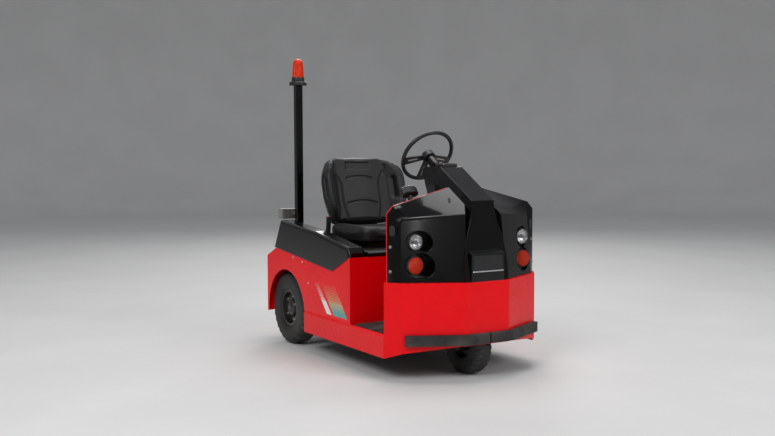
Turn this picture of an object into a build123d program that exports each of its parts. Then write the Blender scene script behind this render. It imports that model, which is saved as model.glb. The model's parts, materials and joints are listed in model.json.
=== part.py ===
from build123d import *
import os
from math import cos, hypot, radians, sin, sqrt, tan

os.makedirs("parts", exist_ok=True)

# Frame: +X forward, +Y to the vehicle's left, +Z up, origin on the ground under the middle.
# Lengths are millimetres. Body stations are measured forward from the rear axle or the rear panel.

# Driving lengths
wheelbase = 1205.0
rear_radius = 210.0
tail_room = 19.0
axle_setback = rear_radius + tail_room
hitch_reach = 91.0
rear_overhang = axle_setback + hitch_reach
front_overhang = 195.0
body_width = 930.0
plate = 6.0
sill_fold = 8.0
seat_gap = 0.3
run_fit = 0.05
move_gap = 5.0

length = rear_overhang + wheelbase + front_overhang
x_rear_axle = rear_overhang - length / 2
x_front_axle = x_rear_axle + wheelbase
x_nose = length / 2
half_width = body_width / 2
inner_half = half_width - plate
upper_half = half_width - sill_fold
upper_inner = upper_half - plate

# Body stations
x_tail = x_rear_axle - axle_setback
x_seat_front = x_rear_axle + 800.0
x_dash = x_seat_front + 354.0
bumper_depth = 25.0
x_apron = x_nose - bumper_depth

# Body heights
body_bottom = 113.0
sill_top = 231.0
apron_top = 486.0
tail_low = 170.0
tail_high = 503.0
tail_crest = 560.0
side_dip = 488.0
seat_box_top = 577.0

# Wheels
rear_tyre_width = 112.0
tyre_inset = 30.0
rear_tyre_face = half_width - tyre_inset
rear_rim_radius = 101.6
front_radius = 150.0
front_tyre_width = 100.0
front_rim_radius = 76.0
axle_radius = 42.0
stub_radius = 30.0
front_pin_radius = 12.0

SIDES = (("right", -1), ("left", 1))


def upright(y):
    """Lengthwise upright plane at y, from which a positive extrusion runs towards -Y."""
    return Plane.XZ.offset(-y)


def wheel_plane(x, z):
    """Plane through a wheel's axis: local x runs along the axle, local y is the radius."""
    return Plane(origin=(x, 0, z), x_dir=(0, 1, 0), z_dir=(1, 0, 0))


def shifted(points, distance):
    """Move an open polyline to its left by a distance, with mitred corners."""
    moved = []
    count = len(points)
    for index, (px, py) in enumerate(points):
        normals = []
        for start in (index - 1, index):
            if 0 <= start < count - 1:
                dx = points[start + 1][0] - points[start][0]
                dy = points[start + 1][1] - points[start][1]
                run = hypot(dx, dy)
                normals.append((-dy / run, dx / run))
        nx = sum(n[0] for n in normals) / len(normals)
        ny = sum(n[1] for n in normals) / len(normals)
        square = nx * nx + ny * ny
        moved.append((px + nx * distance / square, py + ny * distance / square))
    return moved


def strip(points, thickness):
    """Closed outline of a bent sheet that lies to the left of a polyline."""
    return points + shifted(points, thickness)[::-1]


def mirrored(points):
    """A right-hand plan polyline followed by its mirror image, from right to left."""
    return points + [(px, -py) for px, py in points[::-1]]


def symmetric(points):
    """A cross section from its left half, given as half width and height."""
    return points + [(-half, z) for half, z in points[::-1]]


def finish(builder, label):
    """Name a finished piece and write its file."""
    builder.part.label = label
    export_step(builder.part, f"parts/{label}.step")


# Side panels: rear body with the wheel arch, then the sill that stands proud under a fold
arch_ahead = 30.0
arch_drop = 10.0
arch_room = 30.0
arch_step = 8.0
arch_x = x_rear_axle + arch_ahead
arch_z = rear_radius - arch_drop
arch_radius = rear_radius + arch_room
arch_foot_front = arch_x + arch_radius + arch_step
arch_foot_rear = x_tail + 24.0
crest_run = 134.0
x_dip = x_rear_axle + 608.0

side_outline = [
    (x_tail, tail_low),
    (x_tail, tail_high),
    (x_tail + crest_run, tail_crest),
    (x_dip, side_dip),
    (x_seat_front, seat_box_top),
    (x_seat_front, sill_top - sill_fold),
    (arch_foot_front, sill_top - sill_fold),
    (arch_foot_front, tail_low),
]
arch_foot = [
    (arch_x - arch_radius, arch_z),
    (arch_x + arch_radius, arch_z),
    (arch_foot_front, body_bottom),
    (arch_foot_front, body_bottom - plate),
    (arch_foot_rear, body_bottom - plate),
    (arch_foot_rear, tail_low),
]
sill_line = [(half_width, body_bottom), (half_width, sill_top - sill_fold), (upper_half, sill_top)]
for side, sign in SIDES:
    y_high = upper_half if sign > 0 else -upper_inner
    with BuildPart() as side_panel:
        with BuildSketch(upright(y_high)):
            Polygon(*side_outline, align=None)
            with Locations((arch_x, arch_z)):
                Circle(arch_radius, mode=Mode.SUBTRACT)
            Polygon(*arch_foot, align=None, mode=Mode.SUBTRACT)
        extrude(amount=plate)
        with BuildSketch(Plane.YZ.offset(arch_foot_front)):
            Polygon(*[(sign * py, pz) for py, pz in strip(sill_line, plate)], align=None)
        extrude(amount=x_dash - arch_foot_front)
    finish(side_panel, f"side_panel_{side}")

# Rear panel: upright plate with its top bent forward to the rear deck
rear_line = [(x_tail + crest_run, tail_crest), (x_tail, tail_high), (x_tail, tail_low)]
with BuildPart() as rear_panel:
    with BuildSketch(upright(upper_inner)):
        Polygon(*strip(rear_line, plate), align=None)
    extrude(amount=2 * upper_inner)
finish(rear_panel, "rear_panel")

# Chassis frame: belly pan, side plates with the axle holes, cross plates and front rails
pan_top = 125.0
pan_thickness = 8.0
tyre_clearance = 15.0
frame_half = rear_tyre_face - rear_tyre_width - tyre_clearance
frame_plate = 12.0
frame_top = 300.0
floor_thickness = 8.0
floor_top = sill_top - move_gap - 1.0
floor_bottom = floor_top - floor_thickness
motor_bay = 218.0
x_motor_wall = x_rear_axle + motor_bay
housing_half = 176.0
rail_low = 185.0
rail_rise = 60.0
housing_reach = 191.0
housing_rear = x_front_axle - housing_reach
nose_half = 130.0
corner_run = 79.0
corner_inset = 58.0
x_corner = x_dash + corner_run
corner_half = half_width - corner_inset
facet_slope = (x_apron - x_corner) / (corner_half - nose_half)
facet_wall = plate * sqrt(1 + facet_slope**2)
x_rail_front = x_corner + (corner_half - frame_half) * facet_slope - facet_wall - seat_gap
rear_frame = [
    (x_tail + plate, tail_low),
    (x_tail + plate, frame_top),
    (x_motor_wall + frame_plate, frame_top),
    (x_motor_wall + frame_plate, floor_bottom),
    (x_seat_front - plate, floor_bottom),
    (x_seat_front - plate, pan_top - pan_thickness),
    (x_motor_wall, pan_top - pan_thickness),
    (x_motor_wall, tail_low),
]
front_rail = [
    (x_seat_front, pan_top),
    (housing_rear, pan_top),
    (housing_rear + rail_rise, rail_low),
    (x_rail_front, rail_low),
    (x_rail_front, floor_bottom),
    (x_seat_front, floor_bottom),
]
with BuildPart() as chassis_frame:
    for sign in (-1, 1):
        y_high = frame_half if sign > 0 else frame_plate - frame_half
        with BuildSketch(upright(y_high)):
            Polygon(*rear_frame, align=None)
            with Locations((x_rear_axle, rear_radius)):
                Circle(axle_radius + seat_gap, mode=Mode.SUBTRACT)
        extrude(amount=frame_plate)
        with BuildSketch(upright(y_high)):
            Polygon(*front_rail, align=None)
        extrude(amount=frame_plate)
    with BuildSketch(Plane.XY.offset(pan_top - pan_thickness)):
        with Locations(((x_motor_wall + housing_rear) / 2, 0)):
            Rectangle(housing_rear - x_motor_wall, 2 * frame_half)
        with Locations(((arch_foot_front + housing_rear) / 2, 0)):
            Rectangle(housing_rear - arch_foot_front, 2 * inner_half)
    extrude(amount=pan_thickness)
    # Cross plates: x of the rear face, low edge, high edge, half width
    cross_plates = [
        (x_tail + plate, tail_low, frame_top, frame_half),
        (x_motor_wall, pan_top - pan_thickness, frame_top, frame_half),
        (housing_rear - frame_plate, pan_top, floor_bottom, inner_half),
    ]
    for x_plate, low, high, half in cross_plates:
        with BuildSketch(Plane.YZ.offset(x_plate)):
            with Locations((0, (low + high) / 2)):
                Rectangle(2 * half, high - low)
        extrude(amount=frame_plate)
finish(chassis_frame, "chassis_frame")

# Battery: one closed block on the belly pan
battery_gap = 8.0
battery_headroom = 37.0
battery_edge = 4.0
battery_top = seat_box_top - battery_headroom
x_battery_rear = x_motor_wall + frame_plate + battery_gap
x_battery_front = x_seat_front - plate - battery_gap
battery_half = frame_half - frame_plate - battery_gap
with BuildPart() as battery:
    with BuildSketch(Plane.XY.offset(pan_top)):
        with Locations(((x_battery_rear + x_battery_front) / 2, 0)):
            Rectangle(x_battery_front - x_battery_rear, 2 * battery_half)
    extrude(amount=battery_top - pan_top)
    chamfer(battery.edges().group_by(Axis.Z)[-1], battery_edge)
finish(battery, "battery")

# Seat box front panel, just under the rising edge of the hump covers
seat_panel_top = seat_box_top - plate * (seat_box_top - side_dip) / (x_seat_front - x_dip)
with BuildPart() as seat_box_front:
    with BuildSketch(Plane.YZ.offset(x_seat_front - plate)):
        with Locations((0, (pan_top + seat_panel_top) / 2)):
            Rectangle(2 * upper_inner, seat_panel_top - pan_top)
    extrude(amount=plate)
finish(seat_box_front, "seat_box_front")

# Floor pan with a notch for the wheel housing, and the ribbed mat on it
with BuildPart() as floor_pan:
    with BuildSketch(Plane.XY.offset(floor_bottom)):
        with Locations(((x_seat_front + x_dash) / 2, 0)):
            Rectangle(x_dash - x_seat_front, 2 * upper_inner)
        with Locations(((housing_rear + x_dash) / 2, 0)):
            Rectangle(x_dash - housing_rear, 2 * housing_half, mode=Mode.SUBTRACT)
    extrude(amount=floor_thickness)
finish(floor_pan, "floor_pan")

mat_thickness = 5.0
mat_rib = 3.0
mat_margin = 10.0
mat_pitch = 24.0
x_mat_rear = x_seat_front + mat_margin
x_mat_front = housing_rear - mat_margin
mat_half = upper_inner - mat_margin
mat_ribs = int((x_mat_front - x_mat_rear) / mat_pitch)
with BuildPart() as floor_mat:
    with BuildSketch(Plane.XY.offset(floor_top)):
        with Locations(((x_mat_rear + x_mat_front) / 2, 0)):
            Rectangle(x_mat_front - x_mat_rear, 2 * mat_half)
    extrude(amount=mat_thickness)
    with BuildSketch(Plane.XY.offset(floor_top + mat_thickness)):
        with Locations(((x_mat_rear + x_mat_front) / 2, 0)):
            with GridLocations(mat_pitch, 1, mat_ribs, 1):
                Rectangle(mat_pitch / 2, 2 * (mat_half - mat_margin))
    extrude(amount=mat_rib)
finish(floor_mat, "floor_mat")

# Wheel housing: an inverted trough over the front wheel with the steering bearing in its roof
kingpin_radius = 25.0
crown_gap = 8.0
crown_thickness = 18.0
crown_low = 2 * front_radius + crown_gap
crown_high = crown_low + crown_thickness
roof_gap = 27.0
housing_roof = crown_high + roof_gap
sleeve_radius = 44.0
sleeve_length = 144.0
sleeve_top = crown_high + sleeve_length
housing_front = 128.0
x_housing_front = x_front_axle + housing_front
with BuildPart() as wheel_housing:
    with BuildSketch(Plane.XY.offset(rail_low)):
        with Locations(((housing_rear + x_housing_front) / 2, 0)):
            Rectangle(x_housing_front - housing_rear, 2 * housing_half)
    extrude(amount=housing_roof - rail_low)
    with BuildSketch(Plane.XY.offset(rail_low)):
        with Locations(((housing_rear + plate + x_housing_front) / 2, 0)):
            Rectangle(x_housing_front - housing_rear - plate, 2 * (housing_half - plate))
    extrude(amount=housing_roof - rail_low - plate, mode=Mode.SUBTRACT)
    with BuildSketch(Plane.XY.offset(crown_high + seat_gap)):
        with Locations((x_front_axle, 0)):
            Circle(sleeve_radius)
    extrude(amount=sleeve_top - crown_high - seat_gap)
    with BuildSketch(Plane.XY.offset(crown_high)):
        with Locations((x_front_axle, 0)):
            Circle(kingpin_radius + run_fit)
    extrude(amount=sleeve_top - crown_high, mode=Mode.SUBTRACT)
finish(wheel_housing, "wheel_housing")

# Front apron: bent plate round the nose with a rising lower edge and a top flange for the cowl
apron_tip = 143.0
apron_lift = 176.0
apron_flange = 45.0
bend_radius = 5.0
dash_thickness = 8.0
dash_inset = 15.0
dash_half = half_width - dash_inset
x_cowl_rear = x_dash + dash_thickness
apron_line = mirrored([(x_dash, -half_width), (x_corner, -corner_half), (x_apron, -nose_half)])
apron_cut = [
    (x_dash, 0),
    (x_dash, body_bottom),
    (x_corner, apron_tip),
    (x_apron - plate, apron_lift),
    (x_nose, apron_lift),
    (x_nose, 0),
]
with BuildPart() as front_apron:
    with BuildSketch(Plane.XY.offset(body_bottom - plate)):
        Polygon(*strip(apron_line, plate), align=None)
    extrude(amount=apron_top - body_bottom + plate)
    with BuildSketch(upright(half_width)):
        Polygon(*apron_cut, align=None)
    extrude(amount=body_width, mode=Mode.SUBTRACT)
    with BuildSketch(Plane.XY.offset(apron_top - plate)):
        Polygon(*strip(apron_line, apron_flange), align=None)
        with Locations(((x_dash + x_cowl_rear) / 2, 0)):
            Rectangle(dash_thickness, 2 * (dash_half + seat_gap), mode=Mode.SUBTRACT)
    extrude(amount=plate)
    split(bisect_by=Plane.YZ.offset(x_dash), keep=Keep.TOP)
    for x_bend in (x_corner, x_apron):
        bend_edges = front_apron.edges().filter_by(Axis.Z).filter_by_position(Axis.X, x_bend - 1, x_bend + 1)
        fillet(bend_edges, bend_radius + plate)
finish(front_apron, "front_apron")

# Bumper strips: one rubber bar on each half of the nose
bumper_low = 182.0
bumper_high = 234.0
bumper_split = 4.0
bumper_end = 0.04
bumper_edge = 5.0
for side, sign in SIDES:
    end_x = x_corner + bumper_end * (x_apron - x_corner)
    end_y = corner_half - bumper_end * (corner_half - nose_half)
    bumper_line = [(end_x, -end_y), (x_apron, -nose_half), (x_apron, -bumper_split)]
    bumper_plan = bumper_line + shifted(bumper_line, -bumper_depth)[::-1]
    with BuildPart() as bumper:
        with BuildSketch(Plane.XY.offset(bumper_low)):
            Polygon(*[(px, -sign * py) for px, py in bumper_plan], align=None)
        extrude(amount=bumper_high - bumper_low)
        front_edges = bumper.faces().sort_by(Axis.X)[-1].edges()
        chamfer(front_edges.filter_by(Axis.Y), bumper_edge)
    finish(bumper, f"bumper_{side}")

# Ridge of the cowl: a sloping hood from the column to the crease, then the nose below it
dash_shoulder = 820.0
shoulder_run = 36.0
shoulder_rise = 38.0
dash_rise = 0.26
shoulder_top = dash_shoulder + shoulder_rise
dash_peak = shoulder_top + dash_rise * (dash_half - shoulder_run - nose_half)
dash_crown = shoulder_top + dash_rise * (dash_half - shoulder_run)
column_slot = dash_shoulder - 120.0
ridge_half = 66.0
ridge_root = 40.0
x_ridge_rear = x_dash - 99.0
x_crease = x_dash + 174.0
ridge_rear_z = dash_peak + 111.0
crease_z = dash_peak - 52.0
# Half width and height down the side of the hood, at its rear end and at the crease
hood_rear = [
    (ridge_half, ridge_rear_z),
    (ridge_half + 60.0, ridge_rear_z - 58.0),
    (ridge_half + 72.0, ridge_rear_z - 153.0),
    (ridge_half + 72.0, column_slot),
]
hood_front = [
    (ridge_half, crease_z),
    (ridge_half + 9.0, crease_z - 72.0),
    (ridge_half + 31.0, crease_z - 145.0),
    (ridge_half + 50.0, crease_z - 230.0),
]


def hood_at(x, margin):
    """Left half of the hood's section at x, grown by a margin."""
    share = (x - x_ridge_rear) / (x_crease - x_ridge_rear)
    section = []
    for (half_a, z_a), (half_b, z_b) in zip(hood_rear, hood_front):
        section.append((half_a + share * (half_b - half_a) + margin, z_a + share * (z_b - z_a) + margin))
    return section


# Dash plate: red bulkhead with sloping shoulders and a slot for the hood
dash_round = 26.0
sleeve_slot_half = sleeve_radius + move_gap
dash_outline = [
    (dash_half, floor_top),
    (dash_half, dash_shoulder),
    (dash_half - shoulder_run, shoulder_top),
    (ridge_root, dash_crown - dash_rise * ridge_root),
]
hood_slot = hood_at(x_dash, seat_gap)
hood_slot[-1] = (hood_slot[-1][0], column_slot)
housing_slot = [
    (housing_half, floor_top),
    (housing_half, housing_roof),
    (sleeve_slot_half, housing_roof),
    (sleeve_slot_half, sleeve_top + move_gap),
]
with BuildPart() as dash_plate:
    with BuildSketch(Plane.YZ.offset(x_dash)):
        Polygon(*symmetric(dash_outline), align=None)
        Polygon(*symmetric(hood_slot), align=None, mode=Mode.SUBTRACT)
        Polygon(*symmetric(housing_slot), align=None, mode=Mode.SUBTRACT)
    extrude(amount=dash_thickness)
    for corner_z in (dash_shoulder, shoulder_top):
        level = dash_plate.edges().filter_by_position(Axis.Z, corner_z - 1, corner_z + 1)
        corners = level.filter_by(Axis.X).filter_by(lambda edge: abs(edge.center().Y) > dash_half / 2)
        fillet(corners, dash_round)
finish(dash_plate, "dash_plate")

# Front cowl: two shoulders with a raised ridge between them, hollow from behind and below
cowl_wall = 6.0
cowl_corner_x = x_corner - 25.0
cowl_corner_half = corner_half + 3.0
cowl_nose_x = x_apron - 15.0
cowl_nose_half = nose_half - 6.0
cowl_lean = 5.0
facet_corner_z = dash_shoulder - 20.0
facet_nose_z = dash_peak - 104.0
cheek_half = 108.0
cheek_back = 50.0
cheek_in = 30.0
x_nose_foot = x_apron - 5.0
nose_depth = 90.0
nose_flare = 0.22
nose_waist = 0.37
nose_belly = 0.62
nose_bow = 8.0
edge_skirt = 30.0
# Rounded front edge of a shoulder: depth behind the face, run in from the corner, drop of the brow
edge_steps = [
    (10.0, -8.0, 0.0),
    (3.0, 0.0, 4.0),
    (0.0, 10.0, 14.0),
]
facet_run = Vector(cowl_nose_x - cowl_corner_x, cowl_corner_half - cowl_nose_half, 0)
facet_out = Vector(facet_run.Y, -facet_run.X, 0).normalized()
facet_normal = facet_out * cos(radians(cowl_lean)) + Vector(0, 0, sin(radians(cowl_lean)))
facet_origin = Vector(cowl_corner_x, -cowl_corner_half, apron_top)
facet_plane = Plane(origin=facet_origin, x_dir=facet_run, z_dir=facet_normal)
nose_fall = Vector(x_nose_foot - x_crease, 0, apron_top - crease_z)
nose_normal = Vector(-nose_fall.Z, 0, nose_fall.X)
nose_plane = Plane(origin=(x_crease, 0, crease_z), x_dir=(0, 1, 0), z_dir=nose_normal)


def facet_point(half, z):
    """Point on the right shoulder's front face at a half width and a height."""
    reach = facet_normal.Y * (cowl_corner_half - half) + facet_normal.Z * (z - apron_top)
    return Vector(cowl_corner_x - reach / facet_normal.X, -half, z)


def cowl_form(inset):
    """Outer form of the cowl, or with an inset the hollow inside it."""
    back = x_cowl_rear - inset
    foot = apron_top - inset
    root_z = dash_crown - dash_rise * ridge_root
    end_run = facet_run.length * (cowl_corner_half - ridge_root) / (cowl_corner_half - cowl_nose_half)
    rear_section = [
        (-(dash_half - inset), apron_top - edge_skirt),
        (-(dash_half - inset), dash_shoulder - inset / 2),
        (-(dash_half - shoulder_run - inset / 2), shoulder_top - inset),
        (-ridge_root, root_z - inset),
        (-ridge_root, apron_top - edge_skirt),
    ]
    with BuildPart() as shoulder:
        with BuildSketch(Plane.YZ.offset(back)):
            Polygon(*rear_section, align=None)
        for depth, corner_run, brow_drop in edge_steps:
            start = corner_run + inset
            corner_top = facet_corner_z - apron_top - brow_drop - inset
            nose_top = facet_nose_z - apron_top - brow_drop - inset
            with BuildSketch(facet_plane.offset(-depth - inset)):
                Polygon(
                    (start, -edge_skirt),
                    (start, corner_top - shoulder_rise / 3),
                    (start + shoulder_run / 3, corner_top),
                    (end_run, nose_top),
                    (end_run, -edge_skirt),
                    align=None,
                )
        loft(ruled=True)
        split(bisect_by=Plane.XY.offset(foot), keep=Keep.TOP)
        cheek_high = facet_point(cheek_half, facet_nose_z)
        cheek_low = facet_point(cowl_nose_half, apron_top)
        cheek_normal = (cheek_low - cheek_high).cross(Vector(-cheek_back, cheek_in, 0)).normalized()
        split(bisect_by=Plane(origin=cheek_high - cheek_normal * inset, z_dir=cheek_normal), keep=Keep.BOTTOM)
        mirror(about=Plane.XZ)
    side_view = [
        (x_ridge_rear - inset, ridge_rear_z - inset),
        (x_crease - inset, crease_z - inset),
        (x_nose_foot - inset, foot),
        (back, foot),
        (back, column_slot),
    ]
    with BuildPart() as ridge:
        for x in (x_ridge_rear, x_crease):
            with BuildSketch(Plane.YZ.offset(x - inset)):
                Polygon(*symmetric(hood_at(x, -inset)), align=None)
        loft(ruled=True)
        reach = nose_depth + 15 * inset
        for depth in (0.0, reach):
            with BuildSketch(nose_plane.offset(-depth - inset)):
                flare = nose_flare * depth
                top = ridge_half + flare / 2 - inset
                waist = (ridge_half + nose_half) / 2 + flare - inset
                hem = nose_half + flare - inset
                fall = nose_fall.length
                foot_drop = fall + inset
                waist_drop = nose_waist * fall
                with BuildLine():
                    Line((-top, 0), (top, 0))
                    Line((-hem, -foot_drop), (hem, -foot_drop))
                    for sign in (-1, 1):
                        bend = (sign * waist, -waist_drop)
                        ThreePointArc((sign * top, 0), (sign * (top + nose_bow), -waist_drop / 2), bend)
                        belly = (sign * (hem - nose_bow), -nose_belly * fall)
                        ThreePointArc(bend, belly, (sign * hem, -foot_drop))
                make_face()
        loft(ruled=True)
        with BuildSketch(upright(half_width)):
            Polygon(*side_view, align=None)
        extrude(amount=body_width, mode=Mode.INTERSECT)
    return shoulder.part + ridge.part


cowl_outer = cowl_form(0)
cowl_hollow = cowl_form(cowl_wall)

# Lamps: label, half spacing, height, lamp radius, pocket's half spacing, pocket radius
lamp_table = [
    ("headlamps", cowl_corner_half - 83.0, apron_top + 196.0, 41.0, cowl_corner_half - 98.0, 57.0),
    ("turn_lamps", cowl_corner_half - 80.0, apron_top + 82.0, 46.0, cowl_corner_half - 96.0, 64.0),
]
pocket_wall = 4.0
x_pocket_floor = cowl_corner_x - 3.0
lamp_depth = 38.0
lens_round = 11.0
with BuildPart() as lamp_cups:
    with BuildSketch(Plane.YZ.offset(x_pocket_floor - pocket_wall)):
        for label, lamp_y, lamp_z, lamp_radius, pocket_y, pocket_radius in lamp_table:
            with Locations((-pocket_y, lamp_z), (pocket_y, lamp_z)):
                Circle(pocket_radius + pocket_wall)
    extrude(amount=x_nose - x_pocket_floor)
    add(cowl_outer, mode=Mode.INTERSECT)
# Raised pad on the foot of the nose
pad_half = 98.0
pad_top = apron_top + 136.0
pad_slope = 14.0
pad_face = x_nose_foot - nose_fall.X * (pad_top + pad_slope - apron_top) / (crease_z - apron_top)
with BuildPart() as front_cowl:
    add(cowl_outer)
    add(cowl_hollow, mode=Mode.SUBTRACT)
    add(lamp_cups.part)
    with BuildSketch(Plane.YZ.offset(x_pocket_floor)):
        for label, lamp_y, lamp_z, lamp_radius, pocket_y, pocket_radius in lamp_table:
            with Locations((-pocket_y, lamp_z), (pocket_y, lamp_z)):
                Circle(pocket_radius)
    extrude(amount=x_nose - x_pocket_floor, mode=Mode.SUBTRACT)
    with BuildSketch(upright(pad_half)):
        Polygon(
            (x_nose_foot - cowl_wall / 2, apron_top),
            (x_apron, apron_top),
            (x_apron, pad_top),
            (pad_face, pad_top + pad_slope),
            (pad_face - cowl_wall / 2, pad_top + pad_slope),
            align=None,
        )
    extrude(amount=2 * pad_half)
finish(front_cowl, "front_cowl")

# Headlamps and turn lamps: short housings with rounded lenses on the pocket floors
for label, lamp_y, lamp_z, lamp_radius, pocket_y, pocket_radius in lamp_table:
    with BuildPart() as lamps:
        with BuildSketch(Plane.YZ.offset(x_pocket_floor)):
            with Locations((-lamp_y, lamp_z), (lamp_y, lamp_z)):
                Circle(lamp_radius)
        extrude(amount=lamp_depth)
        fillet(lamps.edges().group_by(Axis.X)[-1], lens_round)
    finish(lamps, label)

# Hump covers: gloss side mouldings beside the seat
hump_width = 111.0
hump_outer = half_width - 4.0
hump_inner = hump_outer - hump_width
hump_round = 18.0
hump_bevel = 26.0
hump_foot = 34.0
hump_front_cut = 22.0
# Crown of the hump from front to rear: x, height above the seat box
hump_crown = [
    (x_seat_front, 21.0),
    (x_seat_front - hump_front_cut, 50.0),
    (x_rear_axle + 389.0, 110.0),
    (x_tail + 190.0, 147.0),
]
hump_outline = [
    (x_tail + crest_run - hump_foot, tail_crest),
    (x_tail + crest_run, tail_crest),
    (x_dip, side_dip),
    (x_seat_front, seat_box_top),
] + [(hx, seat_box_top + rise) for hx, rise in hump_crown]
for side, sign in SIDES:
    y_high = hump_outer if sign > 0 else -hump_inner
    with BuildPart() as hump:
        with BuildSketch(upright(y_high)):
            Polygon(*hump_outline, align=None)
        extrude(amount=hump_outer - hump_inner)
        walls = hump.faces().filter_by(Axis.Y).sort_by(Axis.Y)
        outer_wall = walls[-1 if sign > 0 else 0]
        inner_wall = walls[0 if sign > 0 else -1]
        bevel_edges = inner_wall.edges().filter_by(lambda edge: edge.center().Z > seat_box_top + plate)
        round_edges = outer_wall.edges().filter_by(lambda edge: edge.center().Z > seat_box_top + plate)
        chamfer(bevel_edges.sort_by(Axis.X)[1:-1], hump_bevel)
        fillet(round_edges, hump_round)
    finish(hump, f"hump_{side}")

# Rear deck between the humps, with the fixed hinge lugs and pins of the seat hood
hood_low = seat_box_top + seat_gap
hood_thickness = 20.0
deck_top = hood_low + hood_thickness
deck_half = hump_inner - move_gap
deck_overlap = 30.0
x_deck_front = x_tail + 194.0
hinge_ahead = 7.0
hinge_rise = 14.0
x_hinge = x_deck_front + hinge_ahead
hinge_z = deck_top + hinge_rise
hinge_pin_radius = 6.0
hinge_lug_radius = 12.0
hinge_lug = 10.0
hinge_eye = 30.0
hinge_y = deck_half - 145.0
hinge_strap = 40.0
deck_outline = [
    (x_tail + crest_run - deck_overlap, tail_crest),
    (x_tail + crest_run, tail_crest),
    (x_tail + crest_run, hood_low),
    (x_deck_front, hood_low),
    (x_deck_front, deck_top),
    (x_tail + crest_run, deck_top),
]
with BuildPart() as rear_deck:
    with BuildSketch(upright(hump_inner)):
        Polygon(*deck_outline, align=None)
    extrude(amount=2 * hump_inner)
    for sign in (-1, 1):
        for y_lug in (sign * hinge_y - hinge_eye / 2 - hinge_lug, sign * hinge_y + hinge_eye / 2):
            with BuildSketch(upright(y_lug + hinge_lug - run_fit)):
                with Locations((x_hinge, hinge_z)):
                    Circle(hinge_lug_radius)
                Polygon(
                    (x_hinge - hinge_lug_radius, hinge_z),
                    (x_hinge, hinge_z - hinge_lug_radius),
                    (x_deck_front, hinge_z - hinge_lug_radius),
                    (x_deck_front, deck_top),
                    (x_hinge - 3 * hinge_lug_radius, deck_top),
                    align=None,
                )
            extrude(amount=hinge_lug - 2 * run_fit)
        with BuildSketch(upright(sign * hinge_y + hinge_eye / 2 + hinge_lug - run_fit)):
            with Locations((x_hinge, hinge_z)):
                Circle(hinge_pin_radius)
        extrude(amount=hinge_eye + 2 * hinge_lug - 2 * run_fit)
finish(rear_deck, "rear_deck")

# Seat hood: lid over the battery with its hinge eyes
hood_lip = 4.0
hood_round = 12.0
x_hood_rear = x_hinge + hinge_lug_radius + move_gap
x_hood_front = x_seat_front + hood_lip
with BuildPart() as seat_hood:
    with BuildSketch(Plane.XY.offset(hood_low)):
        with Locations(((x_hood_rear + x_hood_front) / 2, 0)):
            Rectangle(x_hood_front - x_hood_rear, 2 * deck_half)
    extrude(amount=hood_thickness)
    fillet(seat_hood.edges().filter_by(Axis.Y).group_by(Axis.X)[-1].sort_by(Axis.Z)[-1], hood_round)
    for sign in (-1, 1):
        with BuildSketch(upright(sign * hinge_y + hinge_eye / 2 - 2 * run_fit)):
            with Locations((x_hinge, hinge_z)):
                Circle(hinge_lug_radius)
            Polygon(
                (x_hinge, hinge_z + hinge_lug_radius),
                (x_hood_rear + hinge_strap, deck_top),
                (x_hood_rear, deck_top - hood_thickness / 2),
                (x_hinge, hinge_z - hinge_lug_radius),
                align=None,
            )
            with Locations((x_hinge, hinge_z)):
                Circle(hinge_pin_radius + run_fit, mode=Mode.SUBTRACT)
        extrude(amount=hinge_eye - 4 * run_fit)
finish(seat_hood, "seat_hood")

# Seat: slide base with a back bracket, cushion, winged backrest and belt buckle
seat_half = deck_half - 95.0
seat_corner = 60.0
seat_round = 28.0
x_cushion_rear = x_rear_axle + 165.0
x_cushion_front = x_rear_axle + 595.0
base_height = 30.0
base_half = seat_half - 70.0
base_rear = 95.0
base_front = 60.0
x_base_rear = x_cushion_rear - base_rear
x_base_front = x_cushion_front - base_front
cushion_low = deck_top + base_height + seat_gap
cushion_high = deck_top + 109.0
back_lean = 16.0
back_thickness = 85.0
back_low = cushion_high + move_gap
back_high = cushion_high + 407.0
bracket = 8.0
bracket_half = seat_half - 120.0
back_forward = Vector(cos(radians(back_lean)), 0, sin(radians(back_lean)))
back_rise = Vector(-sin(radians(back_lean)), 0, cos(radians(back_lean)))
back_foot = Vector(x_cushion_rear, 0, back_low)
back_length = (back_high - back_low) / cos(radians(back_lean)) - back_thickness * tan(radians(back_lean))
back_front = Plane(origin=back_foot, x_dir=(0, 1, 0), z_dir=back_forward)
back_plan = Plane(origin=back_foot, x_dir=(0, 1, 0), z_dir=back_rise)
with BuildPart() as seat_base:
    with BuildSketch(Plane.XY.offset(deck_top)):
        with Locations(((x_base_rear + x_base_front) / 2, 0)):
            Rectangle(x_base_front - x_base_rear, 2 * base_half)
    extrude(amount=base_height)
    with BuildSketch(back_front.offset(-back_thickness - seat_gap - bracket)):
        with Locations((0, back_length / 4)):
            Rectangle(2 * bracket_half, back_length)
    extrude(amount=bracket)
    split(bisect_by=Plane.XY.offset(deck_top), keep=Keep.TOP)
finish(seat_base, "seat_base")

with BuildPart() as seat_cushion:
    with BuildSketch(Plane.XY.offset(cushion_low)):
        with Locations(((x_cushion_rear + x_cushion_front) / 2, 0)):
            RectangleRounded(x_cushion_front - x_cushion_rear, 2 * seat_half, seat_corner)
    extrude(amount=cushion_high - cushion_low)
    fillet(seat_cushion.edges().group_by(Axis.Z)[-1], seat_round)
finish(seat_cushion, "seat_cushion")

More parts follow.
